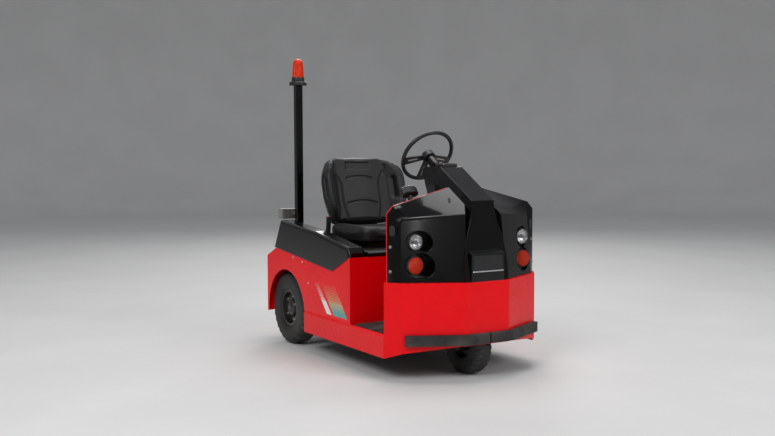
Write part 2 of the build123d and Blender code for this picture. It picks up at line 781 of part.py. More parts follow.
# Plan of the backrest: a flat middle with wings that come forward, and oval slots in the wings
wing_half = seat_half + 13.0
wing_tip = 28.0
wing_reach = 100.0
wing_root = 165.0
wing_slot = 130.0
wing_slot_width = 26.0
back_foot_half = seat_half - 45.0
back_top_half = seat_half - 140.0
back_widest = 0.5 * back_length
back_plan_outline = [
    (wing_root, 0),
    (wing_half - wing_tip, -wing_reach),
    (wing_half, -wing_reach),
    (wing_half, 0),
    (bracket_half + wing_tip, back_thickness),
]
slot_middle = back_foot + back_rise * back_widest + back_forward * (wing_reach / 2)
with BuildPart() as seat_backrest:
    with BuildSketch(back_plan) as plan_sketch:
        Polygon(*back_plan_outline, *[(-py, pd) for py, pd in back_plan_outline[::-1]], align=None)
        fillet(plan_sketch.vertices(), wing_tip / 2 - 1)
    extrude(amount=back_length)
    with BuildSketch(back_front.offset(-2 * back_thickness)):
        with BuildLine():
            Line((-back_foot_half, 0), (back_foot_half, 0))
            Line((-back_top_half, back_length), (back_top_half, back_length))
            for sign in (-1, 1):
                waist = (sign * wing_half, back_widest)
                flank = (sign * 0.95 * wing_half, back_widest / 2)
                crown = (sign * 0.81 * wing_half, 0.86 * back_length)
                ThreePointArc((sign * back_foot_half, 0), flank, waist)
                ThreePointArc(waist, crown, (sign * back_top_half, back_length))
        make_face()
    extrude(amount=4 * back_thickness, mode=Mode.INTERSECT)
    with BuildSketch(upright(2 * wing_half)):
        with Locations((slot_middle.X, slot_middle.Z)):
            SlotOverall(wing_slot, wing_slot_width, rotation=90 + back_lean)
    extrude(amount=4 * wing_half, mode=Mode.SUBTRACT)
finish(seat_backrest, "seat_backrest")

buckle_y = seat_half + 26.0
buckle_width = 16.0
# Side view of the buckle stalk: distance ahead of the cushion's rear, height above the hood
buckle_outline = [
    (20.0, 0),
    (60.0, 0),
    (70.0, 92.0),
    (78.0, 154.0),
    (46.0, 154.0),
    (42.0, 92.0),
]
with BuildPart() as belt_buckle:
    with BuildSketch(upright(-buckle_y + buckle_width / 2)):
        Polygon(*[(x_cushion_rear + ahead, deck_top + rise) for ahead, rise in buckle_outline], align=None)
    extrude(amount=buckle_width)
finish(belt_buckle, "belt_buckle")

# Pole, beacon and work lamp
pole_x = x_tail + 139.0
pole_y = 40.0 - hump_inner
pole_size = 42.0
pole_corner = 5.0
pole_top = 1516.0
flange_radius = 52.0
flange_height = 22.0
flange_edge = 6.0
lens_low_radius = 37.0
lens_high_radius = 29.0
lens_collar = 18.0
lens_crown = 16.0
lens_height = 134.0
with BuildPart() as pole:
    with BuildSketch(Plane.XY.offset(deck_top)):
        with Locations((pole_x, pole_y)):
            RectangleRounded(pole_size, pole_size, pole_corner)
    extrude(amount=pole_top - deck_top)
finish(pole, "pole")

with BuildPart() as beacon_base:
    with BuildSketch(Plane.XY.offset(pole_top)):
        with Locations((pole_x, pole_y)):
            Circle(flange_radius)
    extrude(amount=flange_height)
    chamfer(beacon_base.edges().group_by(Axis.Z)[-1], flange_edge)
finish(beacon_base, "beacon_base")

lens_outline = [
    (0, 0),
    (lens_low_radius, 0),
    (lens_low_radius, lens_collar),
    (lens_high_radius, lens_height - lens_crown),
    (lens_high_radius - lens_crown, lens_height),
    (0, lens_height),
]
lens_foot = (pole_x, pole_y, pole_top + flange_height)
with BuildPart() as beacon_lens:
    with BuildSketch(Plane(origin=lens_foot, x_dir=(1, 0, 0), z_dir=(0, -1, 0))):
        Polygon(*lens_outline, align=None)
    revolve(axis=Axis((pole_x, pole_y, 0), (0, 0, 1)))
finish(beacon_lens, "beacon_lens")

# Work lamp: finned box on an arm from the pole, facing backwards
work_x = pole_x - 95.0
work_y = pole_y - 30.0
work_z = deck_top + 155.0
work_width = 104.0
work_height = 60.0
work_depth = 46.0
fin_pitch = 9.0
fin_depth = 10.0
fin_count = int(work_width / fin_pitch)
arm_width = 26.0
arm_height = 14.0
with BuildPart() as work_lamp:
    with Locations((work_x, work_y, work_z)):
        Box(work_depth, work_width, work_height)
    with Locations((work_x + work_depth / 2 + fin_depth / 2, work_y, work_z)):
        with GridLocations(1, fin_pitch, 1, fin_count):
            Box(fin_depth, fin_pitch / 2, work_height)
    x_arm = work_x + work_depth / 2
    with Locations(((x_arm + pole_x - pole_size / 2) / 2, pole_y, work_z)):
        Box(pole_x - pole_size / 2 - x_arm, arm_width, arm_height)
finish(work_lamp, "work_lamp")

# Tail lamps on the rear panel
tail_y = half_width - 70.0
tail_z = 440.0
tail_width = 76.0
tail_height = 60.0
tail_depth = 22.0
tail_corner = 10.0
tail_edge = 4.0
with BuildPart() as tail_lamps:
    with BuildSketch(Plane.YZ.offset(x_tail)):
        with Locations((-tail_y, tail_z), (tail_y, tail_z)):
            RectangleRounded(tail_width, tail_height, tail_corner)
    extrude(amount=-tail_depth)
    chamfer(tail_lamps.edges().group_by(Axis.X)[0], tail_edge)
finish(tail_lamps, "tail_lamps")

# Tow hitch: stepped jaw of three plates on the rear panel, with a lift-out pin
hitch_half = 75.0
hitch_plate = 14.0
hitch_levels = (232.0, 292.0, 352.0)
hitch_back = 12.0
hitch_border = 25.0
hitch_corner = 10.0
jaw_run = 26.0
jaw_nip = 30.0
pin_radius = 13.0
pin_setback = 42.0
x_hitch_end = -x_nose
x_pin = x_hitch_end + pin_setback
jaw_outline = [
    (x_tail - hitch_back, -hitch_half),
    (x_hitch_end + jaw_run, -hitch_half),
    (x_hitch_end, jaw_nip - hitch_half),
    (x_hitch_end, hitch_half - jaw_nip),
    (x_hitch_end + jaw_run, hitch_half),
    (x_tail - hitch_back, hitch_half),
]
hitch_top = hitch_levels[-1] + hitch_plate
with BuildPart() as tow_hitch:
    with BuildSketch(Plane.YZ.offset(x_tail - hitch_back)):
        with Locations((0, (hitch_levels[0] + hitch_top) / 2)):
            RectangleRounded(
                2 * (hitch_half + hitch_border),
                hitch_top - hitch_levels[0] + 2 * hitch_border,
                hitch_corner,
            )
    extrude(amount=hitch_back)
    for level in hitch_levels:
        with BuildSketch(Plane.XY.offset(level)):
            Polygon(*jaw_outline, align=None)
            with Locations((x_pin, 0)):
                Circle(pin_radius + run_fit, mode=Mode.SUBTRACT)
        extrude(amount=hitch_plate)
finish(tow_hitch, "tow_hitch")

pin_shoulder = hitch_top + seat_gap
pin_below = 16.0
pin_point = 4.0
pin_collar = 9.0
pin_collar_height = 12.0
ring_size = 64.0
ring_hole = 40.0
ring_corner = 18.0
ring_width = 14.0
pin_foot = hitch_levels[0] - pin_below
with BuildPart() as tow_pin:
    with BuildSketch(Plane.XY.offset(pin_foot)):
        with Locations((x_pin, 0)):
            Circle(pin_radius)
    extrude(amount=pin_shoulder - pin_foot)
    chamfer(tow_pin.edges().group_by(Axis.Z)[0], pin_point)
    with BuildSketch(Plane.XY.offset(pin_shoulder)):
        with Locations((x_pin, 0)):
            Circle(pin_radius + pin_collar)
    extrude(amount=pin_collar_height)
    with BuildSketch(upright(ring_width / 2)):
        with Locations((x_pin, pin_shoulder + pin_collar_height + ring_size / 2 - 2.0)):
            RectangleRounded(ring_size, ring_size, ring_corner)
            RectangleRounded(ring_hole, ring_hole, ring_corner / 2, mode=Mode.SUBTRACT)
    extrude(amount=ring_width)
finish(tow_pin, "tow_pin")

# Drive axle: differential case, tubes, flanges and stubs in one casting, with the motor beside it
rear_wheel_y = rear_tyre_face - rear_tyre_width / 2
flange_gap = 4.0
flange_thickness = 8.0
hub_gap = 6.0
flange_in = frame_half + flange_gap
flange_out = flange_in + flange_thickness
hub_in = flange_out + hub_gap
hub_reach = 26.0
hub_out = rear_wheel_y + hub_reach
brake_radius = 68.0
case_radius = 105.0
motor_radius = 78.0
motor_half = 130.0
motor_ahead = 124.0
motor_lift = 12.0
motor_x = x_rear_axle + motor_ahead
motor_z = rear_radius + motor_lift
axle_outline = [
    (0, 0),
    (0, case_radius),
    (60.0, case_radius),
    (100.0, 60.0),
    (150.0, axle_radius),
    (flange_in, axle_radius),
    (flange_in, brake_radius),
    (flange_out, brake_radius),
    (flange_out, stub_radius),
    (hub_out, stub_radius),
    (hub_out, 0),
]
with BuildPart() as drive_axle:
    with BuildSketch(wheel_plane(x_rear_axle, rear_radius)):
        Polygon(*axle_outline, align=None)
    revolve(axis=Axis((x_rear_axle, 0, rear_radius), (0, 1, 0)))
    mirror(about=Plane.XZ)
    with BuildSketch(upright(motor_half)):
        with Locations((motor_x, motor_z)):
            Circle(motor_radius)
    extrude(amount=2 * motor_half)
finish(drive_axle, "drive_axle")

# Rear wheels: dished rim with hub and flanges, and the tyre with a rounded shoulder
rim_lip = 9.0
rim_flange = rear_rim_radius + rim_lip
rim_wall = 9.0
rim_edge = 5.0
rim_setback = 12.0
disc_thickness = 10.0
disc_ahead = 12.0
rim_in = rear_tyre_face - rear_tyre_width + rim_setback
rim_out = rear_tyre_face - rim_setback
disc_y = rear_wheel_y + disc_ahead
rim_bore = rear_rim_radius - rim_wall
tyre_in = rear_tyre_face - rear_tyre_width
tyre_bead = 20.0
tyre_shoulder = 34.0
# Section of the rim: distance from the middle, radius
rim_outline = [
    (hub_in, stub_radius + run_fit),
    (hub_in, 52.0),
    (disc_y - disc_thickness, 62.0),
    (disc_y - disc_thickness, rim_bore),
    (rim_in, rim_bore),
    (rim_in, rim_flange),
    (rim_in + rim_edge, rim_flange),
    (rim_in + rim_edge, rear_rim_radius),
    (rim_out - rim_edge, rear_rim_radius),
    (rim_out - rim_edge, rim_flange),
    (rim_out, rim_flange),
    (rim_out, rim_bore),
    (disc_y + rim_edge, rim_bore - rim_edge),
    (disc_y, 56.0),
    (hub_out, 48.0),
    (hub_out, stub_radius + run_fit),
]
tyre_outline = [
    (rim_in + rim_edge, rear_rim_radius),
    (rim_in + rim_edge, rim_flange + 2.0),
    (tyre_in, rim_flange + tyre_bead),
    (tyre_in, rear_radius - tyre_shoulder),
    (tyre_in + 0.4 * tyre_shoulder, rear_radius - 0.25 * tyre_shoulder),
    (tyre_in + 0.9 * tyre_shoulder, rear_radius),
    (rear_tyre_face - 0.9 * tyre_shoulder, rear_radius),
    (rear_tyre_face - 0.4 * tyre_shoulder, rear_radius - 0.25 * tyre_shoulder),
    (rear_tyre_face, rear_radius - tyre_shoulder),
    (rear_tyre_face, rim_flange + tyre_bead),
    (rim_out - rim_edge, rim_flange + 2.0),
    (rim_out - rim_edge, rear_rim_radius),
]
wheel_axis = Axis((x_rear_axle, 0, rear_radius), (0, 1, 0))
for side, sign in SIDES:
    with BuildPart() as rear_rim:
        with BuildSketch(wheel_plane(x_rear_axle, rear_radius)):
            Polygon(*[(sign * py, pr) for py, pr in rim_outline], align=None)
        revolve(axis=wheel_axis)
    finish(rear_rim, f"rear_rim_{side}")
    with BuildPart() as rear_tyre:
        with BuildSketch(wheel_plane(x_rear_axle, rear_radius)):
            Polygon(*[(sign * py, pr) for py, pr in tyre_outline], align=None)
        revolve(axis=wheel_axis)
    finish(rear_tyre, f"rear_tyre_{side}")

# Front fork: kingpin, crown, two arms and the axle pin
arm_thickness = 14.0
arm_gap = 8.0
arm_inner = front_tyre_width / 2 + arm_gap
arm_outer = arm_inner + arm_thickness
arm_half = 30.0
arm_flare = 8.0
crown_half = 48.0
crown_corner = 12.0
kingpin_short = 2.0
with BuildPart() as front_fork:
    with BuildSketch(Plane.XY.offset(crown_low)):
        with Locations((x_front_axle, 0)):
            RectangleRounded(2 * crown_half, 2 * arm_outer, crown_corner)
    extrude(amount=crown_high - crown_low)
    with BuildSketch(Plane.XY.offset(crown_high)):
        with Locations((x_front_axle, 0)):
            Circle(kingpin_radius)
    extrude(amount=sleeve_top - crown_high - kingpin_short)
    for y_high in (arm_outer, -arm_inner):
        with BuildSketch(upright(y_high)):
            with Locations((x_front_axle, front_radius)):
                Circle(arm_half)
            Polygon(
                (x_front_axle - arm_half, front_radius),
                (x_front_axle - arm_half - arm_flare, crown_low),
                (x_front_axle + arm_half + arm_flare, crown_low),
                (x_front_axle + arm_half, front_radius),
                align=None,
            )
        extrude(amount=arm_thickness)
    with BuildSketch(upright(arm_outer)):
        with Locations((x_front_axle, front_radius)):
            Circle(front_pin_radius)
    extrude(amount=2 * arm_outer)
finish(front_fork, "front_fork")

# Front wheel
front_half = front_tyre_width / 2
hub_half = front_half + arm_gap / 2
front_axis = Axis((x_front_axle, 0, front_radius), (0, 1, 0))
front_rim_half = front_half - 10.0
front_web = 8.0
front_hub_radius = 34.0
front_shoulder = 26.0
# Left half of the rim's section: distance from the middle, radius
front_rim_outline = [
    (front_rim_half, front_rim_radius),
    (front_rim_half, front_rim_radius - 7.0),
    (front_web, front_rim_radius - 10.0),
    (front_web, front_hub_radius),
    (hub_half, front_hub_radius - front_web),
    (hub_half, front_pin_radius + run_fit),
]
front_tyre_outline = [
    (front_half - 0.85 * front_shoulder, front_radius),
    (front_half - 0.38 * front_shoulder, front_radius - 0.23 * front_shoulder),
    (front_half, front_radius - front_shoulder),
    (front_half, front_rim_radius + 18.0),
    (front_rim_half, front_rim_radius),
]
with BuildPart() as front_rim:
    with BuildSketch(wheel_plane(x_front_axle, front_radius)):
        Polygon(*symmetric(front_rim_outline), align=None)
    revolve(axis=front_axis)
finish(front_rim, "front_rim")

with BuildPart() as front_tyre:
    with BuildSketch(wheel_plane(x_front_axle, front_radius)):
        Polygon(*symmetric(front_tyre_outline), align=None)
    revolve(axis=front_axis)
finish(front_tyre, "front_tyre")

# Steering wheel: rim, three slotted spokes, hub and the shaft down into the column
steer_x = x_dash - 320.0
steer_z = ridge_rear_z + 57.0
steer_tilt = 56.0
steer_radius = 145.0
rim_radius = 10.5
spoke_turns = (12.0, 90.0, 168.0)
spoke_thickness = 9.0
spoke_drop = 11.0
spoke_half = 24.0
spoke_slot = 62.0
spoke_slot_width = 9.0
hub_radius = 36.0
hub_height = 34.0
hub_drop = 30.0
shaft_radius = 14.0
shaft_length = 150.0
steer_normal = Vector(-sin(radians(steer_tilt)), 0, cos(radians(steer_tilt)))
steer_origin = (steer_x, 0, steer_z)
steer_plane = Plane(origin=steer_origin, x_dir=(0, 1, 0), z_dir=steer_normal)
rim_plane = Plane(origin=steer_origin, x_dir=(0, 1, 0), z_dir=steer_normal.cross(Vector(0, -1, 0)))
with BuildPart() as steering_wheel:
    with BuildSketch(rim_plane):
        with Locations((steer_radius, 0)):
            Circle(rim_radius)
    revolve(axis=Axis(steer_origin, steer_normal))
    with BuildSketch(steer_plane.offset(-hub_drop)):
        Circle(hub_radius)
    extrude(amount=hub_height)
    with BuildSketch(steer_plane.offset(-shaft_length)):
        Circle(shaft_radius)
    extrude(amount=shaft_length)
    for turn in spoke_turns:
        with BuildSketch(steer_plane.offset(-spoke_drop)):
            with Locations(Rotation(0, 0, turn)):
                Polygon(
                    (0, -spoke_half / 2),
                    (steer_radius, -spoke_half),
                    (steer_radius, spoke_half),
                    (0, spoke_half / 2),
                    align=None,
                )
                with Locations(((hub_radius + steer_radius) / 2, 0)):
                    SlotOverall(spoke_slot, spoke_slot_width, mode=Mode.SUBTRACT)
        extrude(amount=spoke_thickness)
finish(steering_wheel, "steering_wheel")

# Column cover: black housing behind the dash with the bearing boss of the steering shaft
column_half = 64.0
column_waist = 46.0
column_gap = 2.0
boss_wall = 12.0
boss_below = 20.0
boss_gap = 34.0
# Side view of the column: distance behind the dash, height above the column slot
column_outline = [
    (229.0, 202.0),
    (269.0, 324.0),
    (251.0, ridge_rear_z - column_slot),
    (x_dash - x_ridge_rear + seat_gap, ridge_rear_z - column_slot),
    (x_dash - x_ridge_rear + seat_gap, ridge_rear_z - column_slot - 60.0),
    (column_gap, 0),
    (column_gap, -150.0),
    (90.0, -120.0),
]
# Rear view of the column: half width, height above the column slot
column_rear = [
    (column_half, ridge_rear_z - column_slot),
    (column_half, 250.0),
    (column_waist, 40.0),
    (column_waist, -150.0),
]
boss_plane = steer_plane.offset(-shaft_length - boss_below)
with BuildPart() as column_cover:
    with BuildSketch(upright(column_half)):
        Polygon(*[(x_dash - behind, column_slot + rise) for behind, rise in column_outline], align=None)
    extrude(amount=2 * column_half)
    with BuildSketch(Plane.YZ.offset(x_seat_front)):
        Polygon(*symmetric([(half, column_slot + rise) for half, rise in column_rear]), align=None)
    extrude(amount=x_dash - x_seat_front, mode=Mode.INTERSECT)
    with BuildSketch(boss_plane):
        Circle(shaft_radius + boss_wall)
    extrude(amount=shaft_length + boss_below - boss_gap)
    with BuildSketch(boss_plane.offset(boss_below / 2)):
        Circle(shaft_radius + run_fit)
    extrude(amount=shaft_length + boss_below, mode=Mode.SUBTRACT)
finish(column_cover, "column_cover")

# Instrument panel on the column cover, and the direction stalk beside it
panel_length = 76.0
panel_half = 48.0
panel_height = 16.0
panel_corner = 12.0
panel_edge = 5.0
panel_setback = 6.0
panel_x = x_ridge_rear - panel_length / 2 - panel_setback
with BuildPart() as instrument_panel:
    with BuildSketch(Plane.XY.offset(ridge_rear_z)):
        with Locations((panel_x, 0)):
            RectangleRounded(panel_length, 2 * panel_half, panel_corner)
    extrude(amount=panel_height)
    chamfer(instrument_panel.edges().group_by(Axis.Z)[-1], panel_edge)
finish(instrument_panel, "instrument_panel")

stalk_x = x_dash - 224.0
stalk_z = ridge_rear_z - 43.0
# Section of the stalk: distance out from the column, radius
stalk_outline = [
    (0, 0),
    (0, 11.0),
    (14.0, 11.0),
    (18.0, 5.0),
    (62.0, 5.0),
    (68.0, 10.0),
    (96.0, 12.0),
    (104.0, 6.0),
    (104.0, 0),
]
with BuildPart() as direction_stalk:
    with BuildSketch(Plane(origin=(stalk_x, column_half, stalk_z), x_dir=(0, 1, 0), z_dir=(1, 0, 0))):
        Polygon(*stalk_outline, align=None)
    revolve(axis=Axis((stalk_x, 0, stalk_z), (0, 1, 0)))
finish(direction_stalk, "direction_stalk")

# Parking lever on the dash plate: bracket, arm and an oval head with a lobed knob
lever_y = -258.0
lever_width = 16.0
head_x = x_dash - 94.0
head_z = dash_shoulder + 99.0
head_lean = 50.0
head_half = 47.0
head_rise = 30.0
head_depth = 44.0
head_round = 10.0
knob_lobe = 9.0
knob_reach = 10.0
knob_height = 9.0
# Side view of the arm: distance behind the dash, height above the shoulder
lever_outline = [
    (0, -60.0),
    (0, 0),
    (40.0, 0),
    (78.0, 84.0),
    (104.0, 84.0),
    (56.0, -34.0),
]
head_normal = Vector(-cos(radians(head_lean)), 0, sin(radians(head_lean)))
head_plane = Plane(origin=(head_x, lever_y, head_z), x_dir=(0, 1, 0), z_dir=head_normal)
with BuildPart() as parking_lever:
    with BuildSketch(head_plane.offset(-head_depth / 2)):
        Ellipse(head_half, head_rise)
    extrude(amount=head_depth)
    fillet(parking_lever.edges(), head_round)
    with BuildSketch(head_plane.offset(head_depth / 2)):
        with PolarLocations(knob_reach, 3):
            Circle(knob_lobe)
    extrude(amount=knob_height)
    with BuildSketch(upright(lever_y + lever_width / 2)):
        Polygon(*[(x_dash - behind, dash_shoulder + rise) for behind, rise in lever_outline], align=None)
    extrude(amount=lever_width)
finish(parking_lever, "parking_lever")

# Pedals: a sloping pad on a foot for each, on the floor in front of the seat
pedal_width = 80.0
pedal_thickness = 11.0
pedal_rise = 90.0
pedal_gap = 24.0
pedal_pitch = 90.0
pedal_near = -(housing_half + pedal_gap + pedal_width / 2)
pedal_spots = (pedal_near, pedal_near - pedal_pitch)
# Side view of a pedal: distance behind the dash, height above the floor
pedal_outline = [
    (120.0, 0),
    (20.0, pedal_rise),
    (20.0 - pedal_thickness, pedal_rise - pedal_thickness),
    (60.0, 34.0),
    (60.0, 0),
]
with BuildPart() as pedals:
    for pedal_y in pedal_spots:
        with BuildSketch(upright(pedal_y + pedal_width / 2)):
            Polygon(*[(x_dash - behind, floor_top + rise) for behind, rise in pedal_outline], align=None)
        extrude(amount=pedal_width)
finish(pedals, "pedals")
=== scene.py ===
"""Looks of the electric tow tractor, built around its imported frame.

Lengths are metres in the frame's own axes: +X forward, +Y to the vehicle's left, +Z up.
"""
import json
import logging
import math
from dataclasses import dataclass, field
from enum import Enum
from typing import Iterable, Sequence

import bmesh
import bpy
from mathutils import Matrix, Vector
from mathutils.bvhtree import BVHTree
from mathutils.kdtree import KDTree


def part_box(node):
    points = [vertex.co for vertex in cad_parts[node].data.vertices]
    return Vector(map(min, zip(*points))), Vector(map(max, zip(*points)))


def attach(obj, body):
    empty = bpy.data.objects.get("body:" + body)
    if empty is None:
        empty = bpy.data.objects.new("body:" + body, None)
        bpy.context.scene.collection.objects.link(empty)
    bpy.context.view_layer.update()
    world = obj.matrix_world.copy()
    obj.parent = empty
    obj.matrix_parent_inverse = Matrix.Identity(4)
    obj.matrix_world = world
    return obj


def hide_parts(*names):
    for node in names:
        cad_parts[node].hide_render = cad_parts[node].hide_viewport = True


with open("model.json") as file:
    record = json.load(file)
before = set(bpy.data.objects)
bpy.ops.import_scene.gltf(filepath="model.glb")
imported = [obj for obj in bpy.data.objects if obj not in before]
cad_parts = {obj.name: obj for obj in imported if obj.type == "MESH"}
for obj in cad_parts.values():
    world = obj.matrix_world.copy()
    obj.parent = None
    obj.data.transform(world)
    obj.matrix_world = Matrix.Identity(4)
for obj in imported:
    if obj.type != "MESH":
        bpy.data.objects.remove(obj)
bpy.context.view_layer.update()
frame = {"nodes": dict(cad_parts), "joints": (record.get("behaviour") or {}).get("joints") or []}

LOG = logging.getLogger("tow_tractor")
TAU = 2.0 * math.pi
MM = 0.001
UP = Vector((0, 0, 1))
FORWARD = Vector((1, 0, 0))
BACKWARD = Vector((-1, 0, 0))
LEFTWARD = Vector((0, 1, 0))
Point2 = tuple[float, float]
Point3 = tuple[float, float, float]
Colour = tuple[int, int, int]
Linear = tuple[float, float, float, float]


class Body(str, Enum):
    """Groups of pieces that move together, as far as added pieces ride on them."""

    CHASSIS = "chassis"
    HOOD = "hood"
    STEERING = "steering"
    REAR_RIGHT = "rear_wheel_right"
    REAR_LEFT = "rear_wheel_left"
    FRONT_WHEEL = "front_wheel"


class Slot(str, Enum):
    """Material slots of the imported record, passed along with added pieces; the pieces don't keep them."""

    RED_PAINT = "red_paint"
    SATIN_BLACK = "satin_black"
    RUBBER = "rubber"
    LAMP_CLEAR = "lamp_clear"
    LAMP_ORANGE = "lamp_orange"
    SEAT_VINYL = "seat_vinyl"
    TYRE = "tyre"
    WHEEL_BLACK = "wheel_black"
    PIN_STEEL = "pin_steel"


class Side(Enum):
    """The vehicle's two sides, with the sign of Y on each."""

    RIGHT = -1
    LEFT = 1


def linear(colour: Colour) -> Linear:
    """Turn an eight-bit display colour into the linear colour that a socket takes.

    Args:
        colour: Red, green and blue from 0 to 255.

    Returns:
        Linear red, green and blue, and an alpha of one.
    """
    parts = [part / 255.0 for part in colour]
    parts = [p / 12.92 if p <= 0.04045 else ((p + 0.055) / 1.055) ** 2.4 for p in parts]
    return (parts[0], parts[1], parts[2], 1.0)


def deepened(colour: Linear, share: float) -> Linear:
    """A linear colour brought down to a share of its brightness."""
    return (colour[0] * share, colour[1] * share, colour[2] * share, 1.0)


def smooth_step(value: float, low: float, high: float) -> float:
    """Ease from 0 at low to 1 at high."""
    share = min(1.0, max(0.0, (value - low) / (high - low)))
    return share * share * (3.0 - 2.0 * share)


class Graph:
    """Short hand for placing and wiring the nodes of one shader tree."""

    # Places of a colour Mix node's sockets, because their names repeat.
    MIX_INPUTS = (0, 6, 7)
    MIX_RESULT = 2

    def __init__(self, tree: bpy.types.NodeTree) -> None:
        """Work on a tree."""
        self.tree = tree

    def feed(self, socket: bpy.types.NodeSocket, value: object) -> None:
        """Wire a socket into another, or set it to a plain value.

        Args:
            socket: The input to feed.
            value: Another node's output, or a plain value.
        """
        if isinstance(value, bpy.types.NodeSocket):
            self.tree.links.new(value, socket)
        else:
            socket.default_value = value

    def node(
        self, kind: str, inputs: dict[str, object] | None = None, **settings: object
    ) -> bpy.types.Node:
        """Add one node.

        Args:
            kind: Blender's name of the node type.
            inputs: Values or sockets for its inputs, by name.
            settings: Attributes of the node.

        Returns:
            The new node.
        """
        made = self.tree.nodes.new(kind)
        for name, value in settings.items():
            setattr(made, name, value)
        for name, value in (inputs or {}).items():
            self.feed(made.inputs[name], value)
        return made

    def group(self, tree: bpy.types.NodeTree, **values: object) -> bpy.types.NodeOutputs:
        """Place a node group.

        Args:
            tree: The group.
            values: Values or sockets for its inputs, by name in lower case.

        Returns:
            The outputs of the placed group.
        """
        made = self.tree.nodes.new("ShaderNodeGroup")
        made.node_tree = tree
        for name, value in values.items():
            self.feed(made.inputs[name.replace("_", " ").title()], value)
        return made.outputs

    def place(self) -> bpy.types.NodeSocket:
        """The object's own coordinates."""
        return self.node("ShaderNodeTexCoord").outputs["Object"]

    def upright(self, vector: bpy.types.NodeSocket) -> bpy.types.NodeSocket:
        """The upright part of a vector."""
        return self.node("ShaderNodeSeparateXYZ", {"Vector": vector}).outputs["Z"]

    def math(
        self, operation: str, first: object, second: object = 0.0, clamp: bool = False
    ) -> bpy.types.NodeSocket:
        """Combine two numbers.

        Args:
            operation: Blender's name of the operation.
            first: The first number, or a socket.
            second: The second number, or a socket.
            clamp: Keep the result from 0 to 1.

        Returns:
            The result's socket.
        """
        made = self.node("ShaderNodeMath", operation=operation, use_clamp=clamp)
        self.feed(made.inputs[0], first)
        self.feed(made.inputs[1], second)
        return made.outputs[0]

    def ramp(
        self, value: object, low: float, high: float, to_low: float = 0.0, to_high: float = 1.0
    ) -> bpy.types.NodeSocket:
        """Map a span of numbers smoothly onto another.

        Args:
            value: The number, or a socket.
            low: Start of its span.
            high: End of its span.
            to_low: What the start becomes.
            to_high: What the end becomes.

        Returns:
            The result's socket.
        """
        made = self.node("ShaderNodeMapRange", interpolation_type="SMOOTHSTEP")
        names = ("Value", "From Min", "From Max", "To Min", "To Max")
        for name, number in zip(names, (value, low, high, to_low, to_high)):
            self.feed(made.inputs[name], number)
        return made.outputs["Result"]

    def mix(self, share: object, first: object, second: object) -> bpy.types.NodeSocket:
        """Blend two colours.

        Args:
            share: How much of the second colour there is, from 0 to 1.
            first: The first colour, or a socket.
            second: The second colour, or a socket.

        Returns:
            The blend's socket.
        """
        made = self.node("ShaderNodeMix", data_type="RGBA")
        for index, value in zip(self.MIX_INPUTS, (share, first, second)):
            self.feed(made.inputs[index], value)
        return made.outputs[self.MIX_RESULT]

    def noise(self, scale: object, detail: float, vector: object = None) -> bpy.types.NodeSocket:
        """Make cloudy noise.

        Args:
            scale: How fine it is, as a number or a socket.
            detail: How many finer layers it has.
            vector: Coordinates to take in place of the object's own.

        Returns:
            The socket of the noise, from 0 to 1.
        """
        place = vector if vector is not None else self.place()
        made = self.node("ShaderNodeTexNoise", {"Vector": place, "Scale": scale, "Detail": detail})
        return made.outputs["Fac"]


def new_material(name: str) -> tuple[bpy.types.Material, Graph, bpy.types.Node]:
    """Start a material with Blender's standard shader.

    Args:
        name: The material's name.

    Returns:
        The material, its graph and its shader.
    """
    material = bpy.data.materials.new(name)
    material.use_nodes = True
    return material, Graph(material.node_tree), material.node_tree.nodes["Principled BSDF"]


